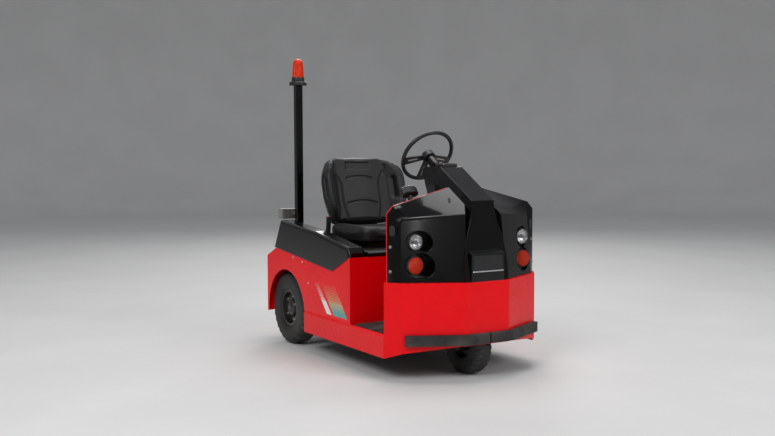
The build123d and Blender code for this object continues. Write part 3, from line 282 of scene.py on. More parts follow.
class Effects:
    """Shader node groups that several finishes share, each built once."""

    def __init__(self) -> None:
        """Build every group."""
        self.soft_edges = self._soft_edges()
        self.tone_drift = self._tone_drift()
        self.settled_dust = self._settled_dust()
        self.pebble_grain = self._pebble_grain()
        self.hairlines = self._hairlines()
        self.flutes = self._flutes()

    @staticmethod
    def _start(
        name: str, inputs: Iterable[str], outputs: dict[str, str]
    ) -> tuple[Graph, dict[str, bpy.types.NodeSocket], bpy.types.Node]:
        """Open an empty group.

        Args:
            name: The group's name.
            inputs: Names of its number inputs.
            outputs: Socket type of each output, by name.

        Returns:
            The group's graph, its input sockets by name, and its output node.
        """
        tree = bpy.data.node_groups.new(name, "ShaderNodeTree")
        for item in inputs:
            tree.interface.new_socket(name=item, in_out="INPUT", socket_type="NodeSocketFloat")
        for item, kind in outputs.items():
            tree.interface.new_socket(name=item, in_out="OUTPUT", socket_type=kind)
        graph = Graph(tree)
        entry = graph.node("NodeGroupInput")
        leave = graph.node("NodeGroupOutput")
        return graph, {socket.name: socket for socket in entry.outputs}, leave

    def _soft_edges(self) -> bpy.types.NodeTree:
        """Rounded normals along edges, and a broken mask of their wear."""
        graph, given, leave = self._start(
            "soft_edges", ("Radius", "Breakup"), {"Normal": "NodeSocketVector", "Wear": "NodeSocketFloat"}
        )
        bevel = graph.node("ShaderNodeBevel", {"Radius": given["Radius"]}, samples=6)
        flat = graph.node("ShaderNodeNewGeometry").outputs["Normal"]
        facing = graph.node("ShaderNodeVectorMath", operation="DOT_PRODUCT")
        graph.feed(facing.inputs[0], bevel.outputs["Normal"])
        graph.feed(facing.inputs[1], flat)
        edge = graph.ramp(facing.outputs["Value"], 0.985, 0.85)
        broken = graph.ramp(graph.noise(given["Breakup"], 8.0), 0.5, 0.68)
        graph.feed(leave.inputs["Normal"], bevel.outputs["Normal"])
        graph.feed(leave.inputs["Wear"], graph.math("MULTIPLY", edge, broken))
        return graph.tree

    def _tone_drift(self) -> bpy.types.NodeTree:
        """Slow drift of tone over a surface, from 0 to 1."""
        graph, given, leave = self._start("tone_drift", ("Scale",), {"Tone": "NodeSocketFloat"})
        broad = graph.noise(given["Scale"], 3.0)
        fine = graph.noise(graph.math("MULTIPLY", given["Scale"], 9.0), 5.0)
        both = graph.math("ADD", graph.math("MULTIPLY", broad, 0.7), graph.math("MULTIPLY", fine, 0.3))
        graph.feed(leave.inputs["Tone"], graph.ramp(both, 0.3, 0.7))
        return graph.tree

    def _settled_dust(self) -> bpy.types.NodeTree:
        """Dust that lies on level faces and gathers near the ground."""
        graph, given, leave = self._start("settled_dust", ("Amount", "Reach"), {"Dust": "NodeSocketFloat"})
        height = graph.upright(graph.place())
        low = graph.math("SUBTRACT", 1.0, graph.math("DIVIDE", height, given["Reach"]), clamp=True)
        normal = graph.node("ShaderNodeNewGeometry").outputs["Normal"]
        level = graph.ramp(graph.upright(normal), 0.6, 1.0)
        cloud = graph.ramp(graph.noise(7.0, 9.0), 0.35, 0.75)
        sum_up = graph.math("ADD", low, graph.math("MULTIPLY", level, 0.5))
        spread = graph.math("MULTIPLY", graph.math("MULTIPLY", sum_up, cloud), given["Amount"], clamp=True)
        graph.feed(leave.inputs["Dust"], spread)
        return graph.tree

    def _pebble_grain(self) -> bpy.types.NodeTree:
        """Moulded or embossed grain, as a height."""
        graph, given, leave = self._start("pebble_grain", ("Scale", "Mix"), {"Height": "NodeSocketFloat"})
        inputs = {"Vector": graph.place(), "Scale": given["Scale"]}
        cells = graph.node("ShaderNodeTexVoronoi", inputs, feature="SMOOTH_F1")
        rough = graph.noise(given["Scale"], 6.0)
        pebble = graph.math("MULTIPLY", cells.outputs["Distance"], given["Mix"])
        graph.feed(leave.inputs["Height"], graph.math("ADD", pebble, rough))
        return graph.tree

    def _hairlines(self) -> bpy.types.NodeTree:
        """Fine scratches from wiping and handling, as a mask."""
        graph, given, leave = self._start("hairlines", ("Scale", "Cover"), {"Mask": "NodeSocketFloat"})
        place = graph.place()
        masks = []
        for turn in (0.4, 1.3, 2.3):
            spun = graph.node("ShaderNodeMapping", {"Vector": place})
            spun.inputs["Rotation"].default_value = (turn, turn * 0.7, turn * 1.9)
            spun.inputs["Scale"].default_value = (1.0, 1.0, 60.0)
            masks.append(graph.ramp(graph.noise(given["Scale"], 2.0, spun.outputs["Vector"]), 0.66, 0.72))
        lines = graph.math("MAXIMUM", graph.math("MAXIMUM", masks[0], masks[1]), masks[2])
        graph.feed(leave.inputs["Mask"], graph.math("MULTIPLY", lines, given["Cover"]))
        return graph.tree

    def _flutes(self) -> bpy.types.NodeTree:
        """Upright flutes pressed into a lens, as a height."""
        graph, given, leave = self._start("flutes", ("Pitch",), {"Height": "NodeSocketFloat"})
        split = graph.node("ShaderNodeSeparateXYZ", {"Vector": graph.place()})
        heights = []
        for axis, weight in (("Y", 1.0), ("Z", 0.5)):
            turn = graph.math("MULTIPLY", graph.math("DIVIDE", split.outputs[axis], given["Pitch"]), TAU)
            heights.append(graph.math("MULTIPLY", graph.math("SINE", turn), weight))
        graph.feed(leave.inputs["Height"], graph.math("ADD", heights[0], heights[1]))
        return graph.tree


@dataclass(frozen=True)
class Finish:
    """An opaque finish: one shader dressed with drift, grain, dust and edge wear.

    Colours are eight-bit display values. Wear, dust and scratches are off at zero.
    """

    name: str
    colour: Colour
    roughness: float
    deep: float = 0.85
    drift: float = 0.05
    drift_scale: float = 4.0
    metallic: float = 0.0
    specular: float = 0.5
    coat: float = 0.0
    coat_roughness: float = 0.06
    sheen: float = 0.0
    edge: float = 2.0 * MM
    worn: Colour = (120, 116, 112)
    wear: float = 0.25
    dust: float = 0.2
    dust_reach: float = 0.5
    grain_scale: float = 400.0
    grain_mix: float = 0.0
    grain_depth: float = 0.02 * MM
    scratches: float = 0.0

    DUST_COLOUR = (150, 142, 130)
    DUST_DULLING = 0.6
    EDGE_BREAKUP = 60.0
    SCRATCH_SCALE = 3.0

    def build(self, effects: Effects) -> bpy.types.Material:
        """Make the material.

        Args:
            effects: The shared node groups.

        Returns:
            The new material.
        """
        material, graph, shader = new_material(self.name)
        plain = {
            "Metallic": self.metallic,
            "Specular IOR Level": self.specular,
            "Coat Weight": self.coat,
            "Coat Roughness": self.coat_roughness,
            "Sheen Weight": self.sheen,
        }
        for name, value in plain.items():
            shader.inputs[name].default_value = value
        edges = graph.group(effects.soft_edges, radius=self.edge, breakup=self.EDGE_BREAKUP)
        tone = graph.group(effects.tone_drift, scale=self.drift_scale)["Tone"]
        dust = graph.group(effects.settled_dust, amount=self.dust, reach=self.dust_reach)["Dust"]
        grain = graph.group(effects.pebble_grain, scale=self.grain_scale, mix=self.grain_mix)["Height"]
        bright = linear(self.colour)
        base = graph.mix(tone, deepened(bright, self.deep), bright)
        base = graph.mix(graph.math("MULTIPLY", edges["Wear"], self.wear), base, linear(self.worn))
        base = graph.mix(dust, base, linear(self.DUST_COLOUR))
        shine = graph.ramp(tone, 0.0, 1.0, self.roughness + self.drift, self.roughness - self.drift)
        if self.scratches > 0.0:
            lines = graph.group(effects.hairlines, scale=self.SCRATCH_SCALE, cover=self.scratches)["Mask"]
            shine = graph.math("ADD", shine, lines)
        shine = graph.math("ADD", shine, graph.math("MULTIPLY", dust, self.DUST_DULLING), clamp=True)
        bump = graph.node("ShaderNodeBump", {"Height": grain, "Normal": edges["Normal"]})
        bump.inputs["Strength"].default_value = 1.0
        bump.inputs["Distance"].default_value = self.grain_depth
        graph.feed(shader.inputs["Base Color"], base)
        graph.feed(shader.inputs["Roughness"], shine)
        graph.feed(shader.inputs["Normal"], bump.outputs["Normal"])
        return material


@dataclass(frozen=True)
class LensFinish:
    """A clear or tinted lens with pressed flutes."""

    name: str
    colour: Colour
    transmission: float = 1.0
    roughness: float = 0.04
    flute_pitch: float = 6.0 * MM
    flute_depth: float = 0.6 * MM

    ACRYLIC_INDEX = 1.49
    CLEAR_SPECULAR = 0.5
    TINTED_SPECULAR = 0.25
    DEEP = 0.9
    DRIFT_SCALE = 30.0
    HAZE = 1.6

    def build(self, effects: Effects) -> bpy.types.Material:
        """Make the material.

        Args:
            effects: The shared node groups.

        Returns:
            The new material.
        """
        material, graph, shader = new_material(self.name)
        shader.inputs["Transmission Weight"].default_value = self.transmission
        shader.inputs["IOR"].default_value = self.ACRYLIC_INDEX
        specular = self.CLEAR_SPECULAR if self.transmission > 0.5 else self.TINTED_SPECULAR
        shader.inputs["Specular IOR Level"].default_value = specular
        tone = graph.group(effects.tone_drift, scale=self.DRIFT_SCALE)["Tone"]
        bright = linear(self.colour)
        graph.feed(shader.inputs["Base Color"], graph.mix(tone, deepened(bright, self.DEEP), bright))
        haze = graph.ramp(tone, 0.0, 1.0, self.roughness * self.HAZE, self.roughness)
        graph.feed(shader.inputs["Roughness"], haze)
        flutes = graph.group(effects.flutes, pitch=self.flute_pitch)["Height"]
        bump = graph.node("ShaderNodeBump", {"Height": flutes})
        bump.inputs["Strength"].default_value = 1.0
        bump.inputs["Distance"].default_value = self.flute_depth
        graph.feed(shader.inputs["Normal"], bump.outputs["Normal"])
        return material


@dataclass(frozen=True)
class FadeFinish:
    """A printed film whose colour fades from a low one to a high one with height."""

    name: str
    high_colour: Colour
    low_colour: Colour
    low: float
    high: float

    COAT = 0.2
    DRIFT_SCALE = 30.0
    ROUGHNESS = (0.42, 0.34)

    def build(self, effects: Effects) -> bpy.types.Material:
        """Make the material.

        Args:
            effects: The shared node groups.

        Returns:
            The new material.
        """
        material, graph, shader = new_material(self.name)
        shader.inputs["Coat Weight"].default_value = self.COAT
        share = graph.ramp(graph.upright(graph.place()), self.low, self.high)
        tone = graph.group(effects.tone_drift, scale=self.DRIFT_SCALE)["Tone"]
        fade = graph.mix(share, linear(self.low_colour), linear(self.high_colour))
        graph.feed(shader.inputs["Base Color"], fade)
        graph.feed(shader.inputs["Roughness"], graph.ramp(tone, 0.0, 1.0, *self.ROUGHNESS))
        return material


@dataclass
class Finishes:
    """Every finish on the tractor, built once."""

    effects: Effects
    made: dict[str, bpy.types.Material] = field(default_factory=dict)

    RECIPES = (
        Finish("red_paint", (238, 0, 14), 0.28, deep=0.94, specular=0.16, coat=0.1, edge=5 * MM,
               worn=(240, 90, 80), wear=0.1, dust=0.0, grain_scale=260.0, grain_depth=0.008 * MM),
        Finish("frame_black", (26, 26, 28), 0.5, edge=3 * MM, wear=0.4, dust=0.14, grain_scale=500.0,
               grain_depth=0.06 * MM),
        Finish("gloss_black", (5, 5, 6), 0.16, deep=0.8, specular=0.26, coat=0.2, edge=5 * MM,
               worn=(60, 62, 66), wear=0.1, dust=0.0, grain_scale=90.0, grain_depth=0.02 * MM),
        Finish("satin_black", (24, 24, 26), 0.42, edge=2 * MM, worn=(90, 90, 92), dust=0.12,
               grain_mix=0.8, grain_scale=900.0, grain_depth=0.08 * MM),
        Finish("rubber", (30, 30, 31), 0.7, edge=4 * MM, worn=(70, 68, 66), dust=0.35, grain_scale=700.0,
               grain_depth=0.15 * MM),
        Finish("mat_rubber", (44, 44, 46), 0.75, edge=1 * MM, worn=(96, 94, 90), dust=0.5, grain_mix=1.0,
               grain_scale=500.0, grain_depth=0.2 * MM),
        Finish("seat_vinyl", (22, 22, 24), 0.46, deep=0.86, specular=0.35, sheen=0.02, edge=1 * MM,
               worn=(86, 86, 88), wear=0.15, dust=0.06, grain_mix=1.2, grain_scale=620.0,
               grain_depth=0.25 * MM),
        Finish("tyre", (22, 22, 24), 0.55, deep=0.8, edge=1.5 * MM, worn=(76, 75, 72), dust=0.25,
               dust_reach=0.3, grain_scale=350.0, grain_depth=0.2 * MM),
        Finish("wheel_black", (18, 18, 20), 0.3, edge=2 * MM, worn=(96, 95, 92), wear=0.4, dust=0.12,
               grain_scale=300.0, grain_depth=0.05 * MM),
        Finish("pin_steel", (170, 170, 172), 0.32, metallic=1.0, edge=1 * MM, worn=(210, 210, 210),
               dust=0.1, scratches=0.25),
        Finish("bolt_zinc", (150, 150, 148), 0.38, metallic=1.0, edge=0.6 * MM, worn=(200, 200, 200),
               dust=0.15),
        Finish("bolt_black", (30, 30, 32), 0.4, edge=0.6 * MM, worn=(90, 90, 90), dust=0.1),
        Finish("bright_trim", (205, 207, 210), 0.16, metallic=1.0, edge=0.5 * MM, wear=0.0, dust=0.05),
        Finish("reflector", (238, 239, 241), 0.16, metallic=1.0, edge=0.5 * MM, wear=0.0, dust=0.0),
        Finish("screen", (14, 20, 22), 0.12, coat=0.5, edge=0.5 * MM, wear=0.0, dust=0.05),
        Finish("stripe_white", (236, 236, 232), 0.35, deep=0.95, coat=0.3, edge=0.2 * MM, wear=0.0,
               dust=0.1),
        Finish("cell_grey", (52, 54, 57), 0.5, edge=1 * MM, worn=(96, 98, 100), dust=0.3),
        Finish("vent_yellow", (214, 172, 40), 0.45, edge=0.8 * MM, wear=0.1, dust=0.15),
        Finish("hood_black", (9, 9, 10), 0.4, deep=0.8, specular=0.22, edge=4 * MM, worn=(60, 62, 66),
               dust=0.1),
        Finish("red_button", (190, 16, 14), 0.4, edge=0.6 * MM, wear=0.1, dust=0.05),
        Finish("lamp_white", (244, 245, 246), 0.3, deep=0.97, edge=0.5 * MM, wear=0.0, dust=0.0),
        Finish("cast_alloy", (178, 178, 174), 0.42, metallic=0.85, edge=0.8 * MM, worn=(210, 210, 208),
               dust=0.1, grain_scale=600.0, grain_depth=0.08 * MM),
        FadeFinish("stripe_fade", (206, 164, 118), (70, 164, 156), 0.255, 0.335),
        LensFinish("lamp_clear", (252, 252, 252), flute_depth=0.3 * MM),
        LensFinish("lamp_orange", (206, 44, 6), transmission=0.12, roughness=0.16, flute_depth=0.9 * MM),
        LensFinish("beacon_orange", (232, 50, 2), transmission=0.2, roughness=0.1, flute_pitch=8 * MM),
        LensFinish("lamp_red", (198, 8, 8), transmission=0.15, roughness=0.14),
    )

    def __post_init__(self) -> None:
        """Build each recipe's material."""
        for recipe in self.RECIPES:
            self.made[recipe.name] = recipe.build(self.effects)

    def __getitem__(self, name: str) -> bpy.types.Material:
        """The material of a name."""
        return self.made[name]


@dataclass
class Shape:
    """Points and faces of a piece that is being made."""

    points: list[Vector] = field(default_factory=list)
    faces: list[tuple[int, ...]] = field(default_factory=list)

    def add(self, other: "Shape") -> None:
        """Take in the points and faces of another shape.

        Args:
            other: The shape to take in.
        """
        start = len(self.points)
        self.points.extend(other.points)
        self.faces.extend(tuple(index + start for index in face) for face in other.faces)

    def placed(self, matrix: Matrix) -> "Shape":
        """A copy moved by a matrix."""
        return Shape([matrix @ point for point in self.points], list(self.faces))

    @staticmethod
    def of_node(name: str) -> "Shape":
        """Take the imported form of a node.

        Args:
            name: The node's name.

        Returns:
            Its shape, in the frame's axes.
        """
        node = frame["nodes"][name]
        points = [node.matrix_world @ vertex.co for vertex in node.data.vertices]
        return Shape(points, [tuple(face.vertices) for face in node.data.polygons])

    @staticmethod
    def grid(
        rows: Sequence[Sequence[Vector]], wrap_rows: bool = False, wrap_columns: bool = False
    ) -> "Shape":
        """Faces between rows of points.

        Args:
            rows: Rows with equally many points.
            wrap_rows: Join the last row to the first.
            wrap_columns: Join each row's end to its start.

        Returns:
            The shape.
        """
        tall, wide = len(rows), len(rows[0])
        faces = []
        for i in range(tall if wrap_rows else tall - 1):
            for j in range(wide if wrap_columns else wide - 1):
                near, far = i * wide, ((i + 1) % tall) * wide
                step = (j + 1) % wide
                faces.append((near + j, near + step, far + step, far + j))
        return Shape([Vector(point) for row in rows for point in row], faces)

    @staticmethod
    def lathe(profile: Sequence[Point2], steps: int = 48, closed: bool = False) -> "Shape":
        """Turn a profile about Z.

        Args:
            profile: Points of (radius, height).
            steps: How many times the profile stands round the turn.
            closed: Join the profile's end to its start.

        Returns:
            The shape.
        """
        rows = []
        for index in range(steps):
            turn = TAU * index / steps
            rows.append([Vector((r * math.cos(turn), r * math.sin(turn), h)) for r, h in profile])
        return Shape.grid(rows, wrap_rows=True, wrap_columns=closed)

    @staticmethod
    def prism(outline: Sequence[Point2], height: float, inset: float = 0.0) -> "Shape":
        """Stand an upright prism on an outline.

        Args:
            outline: Corners of its foot.
            height: Its height.
            inset: How far its top and bottom edges are drawn in.

        Returns:
            The shape.
        """
        centre = sum((Vector((x, y)) for x, y in outline), Vector((0, 0))) / len(outline)
        reach = max((Vector(point) - centre).length for point in outline)
        shrink = 1.0 - inset / reach
        levels = [(0.0, 1.0), (height, 1.0)]
        if inset:
            levels = [(0.0, shrink), (inset, 1.0), (height - inset, 1.0), (height, shrink)]
        rows = []
        for z, scale in levels:
            rows.append([Vector((*(centre + (Vector(p) - centre) * scale), z)) for p in outline])
        made = Shape.grid(rows, wrap_columns=True)
        count = len(outline)
        made.faces.append(tuple(range(count))[::-1])
        made.faces.append(tuple(range(len(made.points) - count, len(made.points))))
        return made

    @staticmethod
    def hoop(path: Sequence[Vector], radius: float, sides: int) -> "Shape":
        """Bend a round wire along a closed path.

        Args:
            path: Points once round the hoop.
            radius: Radius of the wire.
            sides: How many points stand round the wire.

        Returns:
            The shape.
        """
        rows = []
        turns = [TAU * k / sides for k in range(sides)]
        side = (path[1] - path[-1]).normalized().orthogonal().normalized()
        for index, point in enumerate(path):
            ahead = (path[(index + 1) % len(path)] - path[index - 1]).normalized()
            side = (side - ahead * side.dot(ahead)).normalized()
            other = ahead.cross(side)
            rows.append([point + (side * math.cos(t) + other * math.sin(t)) * radius for t in turns])
        return Shape.grid(rows, wrap_rows=True, wrap_columns=True)


def rounded_rectangle(width: float, height: float, corner: float, steps: int = 6) -> list[Point2]:
    """Draw a rectangle with round corners, about its centre.

    Args:
        width: Its size along X.
        height: Its size along Y.
        corner: Radius of its corners.
        steps: How many steps each corner has.

    Returns:
        The points of the outline.
    """
    points = []
    for quarter, (sx, sy) in enumerate(((1, 1), (-1, 1), (-1, -1), (1, -1))):
        for step in range(steps + 1):
            turn = (quarter + step / steps) * TAU / 4
            x = sx * (width / 2 - corner) + corner * math.cos(turn)
            y = sy * (height / 2 - corner) + corner * math.sin(turn)
            points.append((x, y))
    return points


def stand(origin: Vector, up: Vector, ahead: Vector = FORWARD) -> Matrix:
    """Matrix that stands a shape on a face.

    Args:
        origin: Where the shape's own origin goes.
        up: Direction of the shape's Z.
        ahead: Rough direction of the shape's X.

    Returns:
        The placing matrix.
    """
    z = up.normalized()
    if abs(z.dot(ahead.normalized())) > 0.99:
        ahead = LEFTWARD
    x = (ahead - z * ahead.dot(z)).normalized()
    y = z.cross(x)
    turn = Matrix((x, y, z)).transposed().to_4x4()
    return Matrix.Translation(origin) @ turn


class Skin:
    """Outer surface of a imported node, on which fittings are seated."""

    def __init__(self, node: str) -> None:
        """Take the node's packed form."""
        shape = Shape.of_node(node)
        self.tree = BVHTree.FromPolygons(shape.points, shape.faces)

    def seat(self, start: Vector, aim: Vector) -> tuple[Vector, Vector]:
        """Find where a line meets the surface.

        Args:
            start: A point in front of the surface.
            aim: Direction from there towards it.

        Returns:
            The point met, and the way that the surface faces there.
        """
        point, normal, _, _ = self.tree.ray_cast(start, aim.normalized())
        return point, -normal if normal.dot(aim) > 0.0 else normal


class Bench:
    """Turns shapes into finished pieces that ride on the frame."""

    def __init__(self, finishes: Finishes) -> None:
        """Keep the finishes at hand."""
        self.finishes = finishes

    def piece(self, name: str, shape: Shape, finish: str, body: Body, slot: Slot, sharp: float = 35.0,
              replaces: Sequence[str] = ()) -> bpy.types.Object:
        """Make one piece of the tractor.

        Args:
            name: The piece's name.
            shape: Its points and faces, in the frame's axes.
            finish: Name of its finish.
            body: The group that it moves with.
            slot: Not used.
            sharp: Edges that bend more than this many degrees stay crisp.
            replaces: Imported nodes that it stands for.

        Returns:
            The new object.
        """
        mesh = bpy.data.meshes.new(name)
        mesh.from_pydata(shape.points, [], shape.faces)
        shell = bmesh.new()
        shell.from_mesh(mesh)
        bmesh.ops.remove_doubles(shell, verts=shell.verts, dist=1e-6)
        bmesh.ops.recalc_face_normals(shell, faces=shell.faces)
        shell.to_mesh(mesh)
        shell.free()
        mesh.shade_smooth()
        mesh.set_sharp_from_angle(angle=math.radians(sharp))
        mesh.materials.append(self.finishes[finish])
        made = bpy.data.objects.new(name, mesh)
        bpy.context.scene.collection.objects.link(made)
        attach(made, body.value)
        if replaces:
            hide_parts(*replaces)
        LOG.info("%s: %d faces on %s", made.name, len(made.data.polygons), body.value)
        return made


@dataclass(frozen=True)
class Viewpoint:
    """Camera that stands where the photograph was taken."""

    place: Point3 = (4.744, -2.924, 1.110)
    yaw: float = 148.99
    pitch: float = -3.68
    roll: float = -0.17
    focal_pixels: float = 997.1
    frame_pixels: int = 775
    sensor: float = 36.0

    def build(self) -> None:
        """Make the camera and give it to the scene."""
        yaw, pitch, roll = (math.radians(a) for a in (self.yaw, self.pitch, self.roll))
        ahead = Vector((math.cos(pitch) * math.cos(yaw), math.cos(pitch) * math.sin(yaw), math.sin(pitch)))
        right = ahead.cross(UP).normalized()
        up = right.cross(ahead)
        level = right * math.cos(roll) + up * math.sin(roll)
        upright = up * math.cos(roll) - right * math.sin(roll)
        data = bpy.data.cameras.new("viewpoint")
        data.sensor_fit = "HORIZONTAL"
        data.sensor_width = self.sensor
        data.lens = self.focal_pixels * self.sensor / self.frame_pixels
        data.clip_end = 200.0
        camera = bpy.data.objects.new("viewpoint", data)
        turn = Matrix((level, upright, -ahead)).transposed().to_4x4()
        camera.matrix_world = Matrix.Translation(Vector(self.place)) @ turn
        bpy.context.scene.collection.objects.link(camera)
        bpy.context.scene.camera = camera


@dataclass(frozen=True)
class Softbox:
    """One studio lamp aimed at the tractor: a large square, or an upright strip where it has a height."""

    name: str
    place: Point3
    size: float
    power: float
    height: float = 0.0

    def build(self, aim: Vector) -> None:
        """Hang the lamp and aim it.

        Args:
            aim: The point that it lights.
        """
        data = bpy.data.lights.new(self.name, "AREA")
        data.size = self.size
        data.energy = self.power
        away = Vector(self.place) - aim
        if self.height:
            data.shape = "RECTANGLE"
            data.size_y = self.height
            away.z = 0.0
        lamp = bpy.data.objects.new(self.name, data)
        lamp.matrix_world = stand(Vector(self.place), away, Vector((-away.y, away.x, 0)))
        bpy.context.scene.collection.objects.link(lamp)


@dataclass
class Studio:
    """Pale floor that curves up into a backdrop all round, soft lamps and the camera."""

    floor_radius: float = 13.0
    bend_radius: float = 4.0
    bend_steps: int = 16
    wall_top: float = 9.0
    aim_height: float = 0.6
    floor_colour: Colour = (206, 206, 205)
    sky_colour: Colour = (232, 234, 238)
    sky_strength: float = 0.42
    softboxes: tuple[Softbox, ...] = (
        Softbox("key_lamp", (3.2, -5.5, 5.2), 3.0, 260.0),
        Softbox("front_lamp", (6.5, 2.5, 4.2), 3.0, 150.0),
        Softbox("top_lamp", (-0.5, 0.5, 6.5), 4.0, 190.0),
        Softbox("rear_lamp", (-5.5, 3.5, 4.5), 3.0, 120.0),
        Softbox("strip_lamp", (6.9, -3.0, 2.5), 0.08, 6.0, 2.6),
    )

    def build(self) -> None:
        """Build the whole studio."""
        bpy.context.scene.view_settings.view_transform = "Standard"
        Viewpoint().build()
        for lamp in self.softboxes:
            lamp.build(UP * self.aim_height)
        self._sky()
        self._backdrop()

    def _sky(self) -> None:
        """Even light from all round."""
        world = bpy.data.worlds.new("studio_sky")
        bpy.context.scene.world = world
        world.use_nodes = True
        sky = world.node_tree.nodes["Background"]
        sky.inputs["Color"].default_value = linear(self.sky_colour)
        sky.inputs["Strength"].default_value = self.sky_strength

    def _backdrop(self) -> None:
        """Floor and round wall in one sheet."""
        profile = [(0.0, 0.0), (1.0, 0.0), (3.0, 0.0), (self.floor_radius, 0.0)]
        for step in range(1, self.bend_steps + 1):
            turn = TAU / 4 * step / self.bend_steps
            out = self.floor_radius + self.bend_radius * math.sin(turn)
            profile.append((out, self.bend_radius * (1.0 - math.cos(turn))))
        profile.append((self.floor_radius + self.bend_radius, self.wall_top))
        shape = Shape.lathe(profile, 96)
        mesh = bpy.data.meshes.new("studio_floor")
        mesh.from_pydata(shape.points, [], shape.faces)
        mesh.shade_smooth()
        material, graph, shader = new_material("studio_floor")
        shader.inputs["Specular IOR Level"].default_value = 0.2
        pale = linear(self.floor_colour)
        cloud = graph.ramp(graph.noise(1.2, 6.0), 0.35, 0.65)
        graph.feed(shader.inputs["Base Color"], graph.mix(cloud, deepened(pale, 0.96), pale))
        graph.feed(shader.inputs["Roughness"], graph.ramp(graph.noise(9.0, 4.0), 0.3, 0.7, 0.6, 0.75))
        mesh.materials.append(material)
        floor = bpy.data.objects.new("studio_floor", mesh)
        bpy.context.scene.collection.objects.link(floor)


@dataclass
class Bodywork:
    """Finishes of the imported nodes: each by its slot, apart from a few special ones."""

    bench: Bench
    special: dict[str, str] = field(default_factory=lambda: {
        "floor_mat": "mat_rubber", "beacon_lens": "beacon_orange", "work_lamp": "cast_alloy",
        "seat_hood": "hood_black",
    })

    def dress_nodes(self) -> None:
        """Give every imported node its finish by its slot."""
        for name, node in frame["nodes"].items():
            for slot in node.material_slots:
                packed = slot.material.name.split(".")[0]
                slot.material = self.bench.finishes[self.special.get(name, packed)]


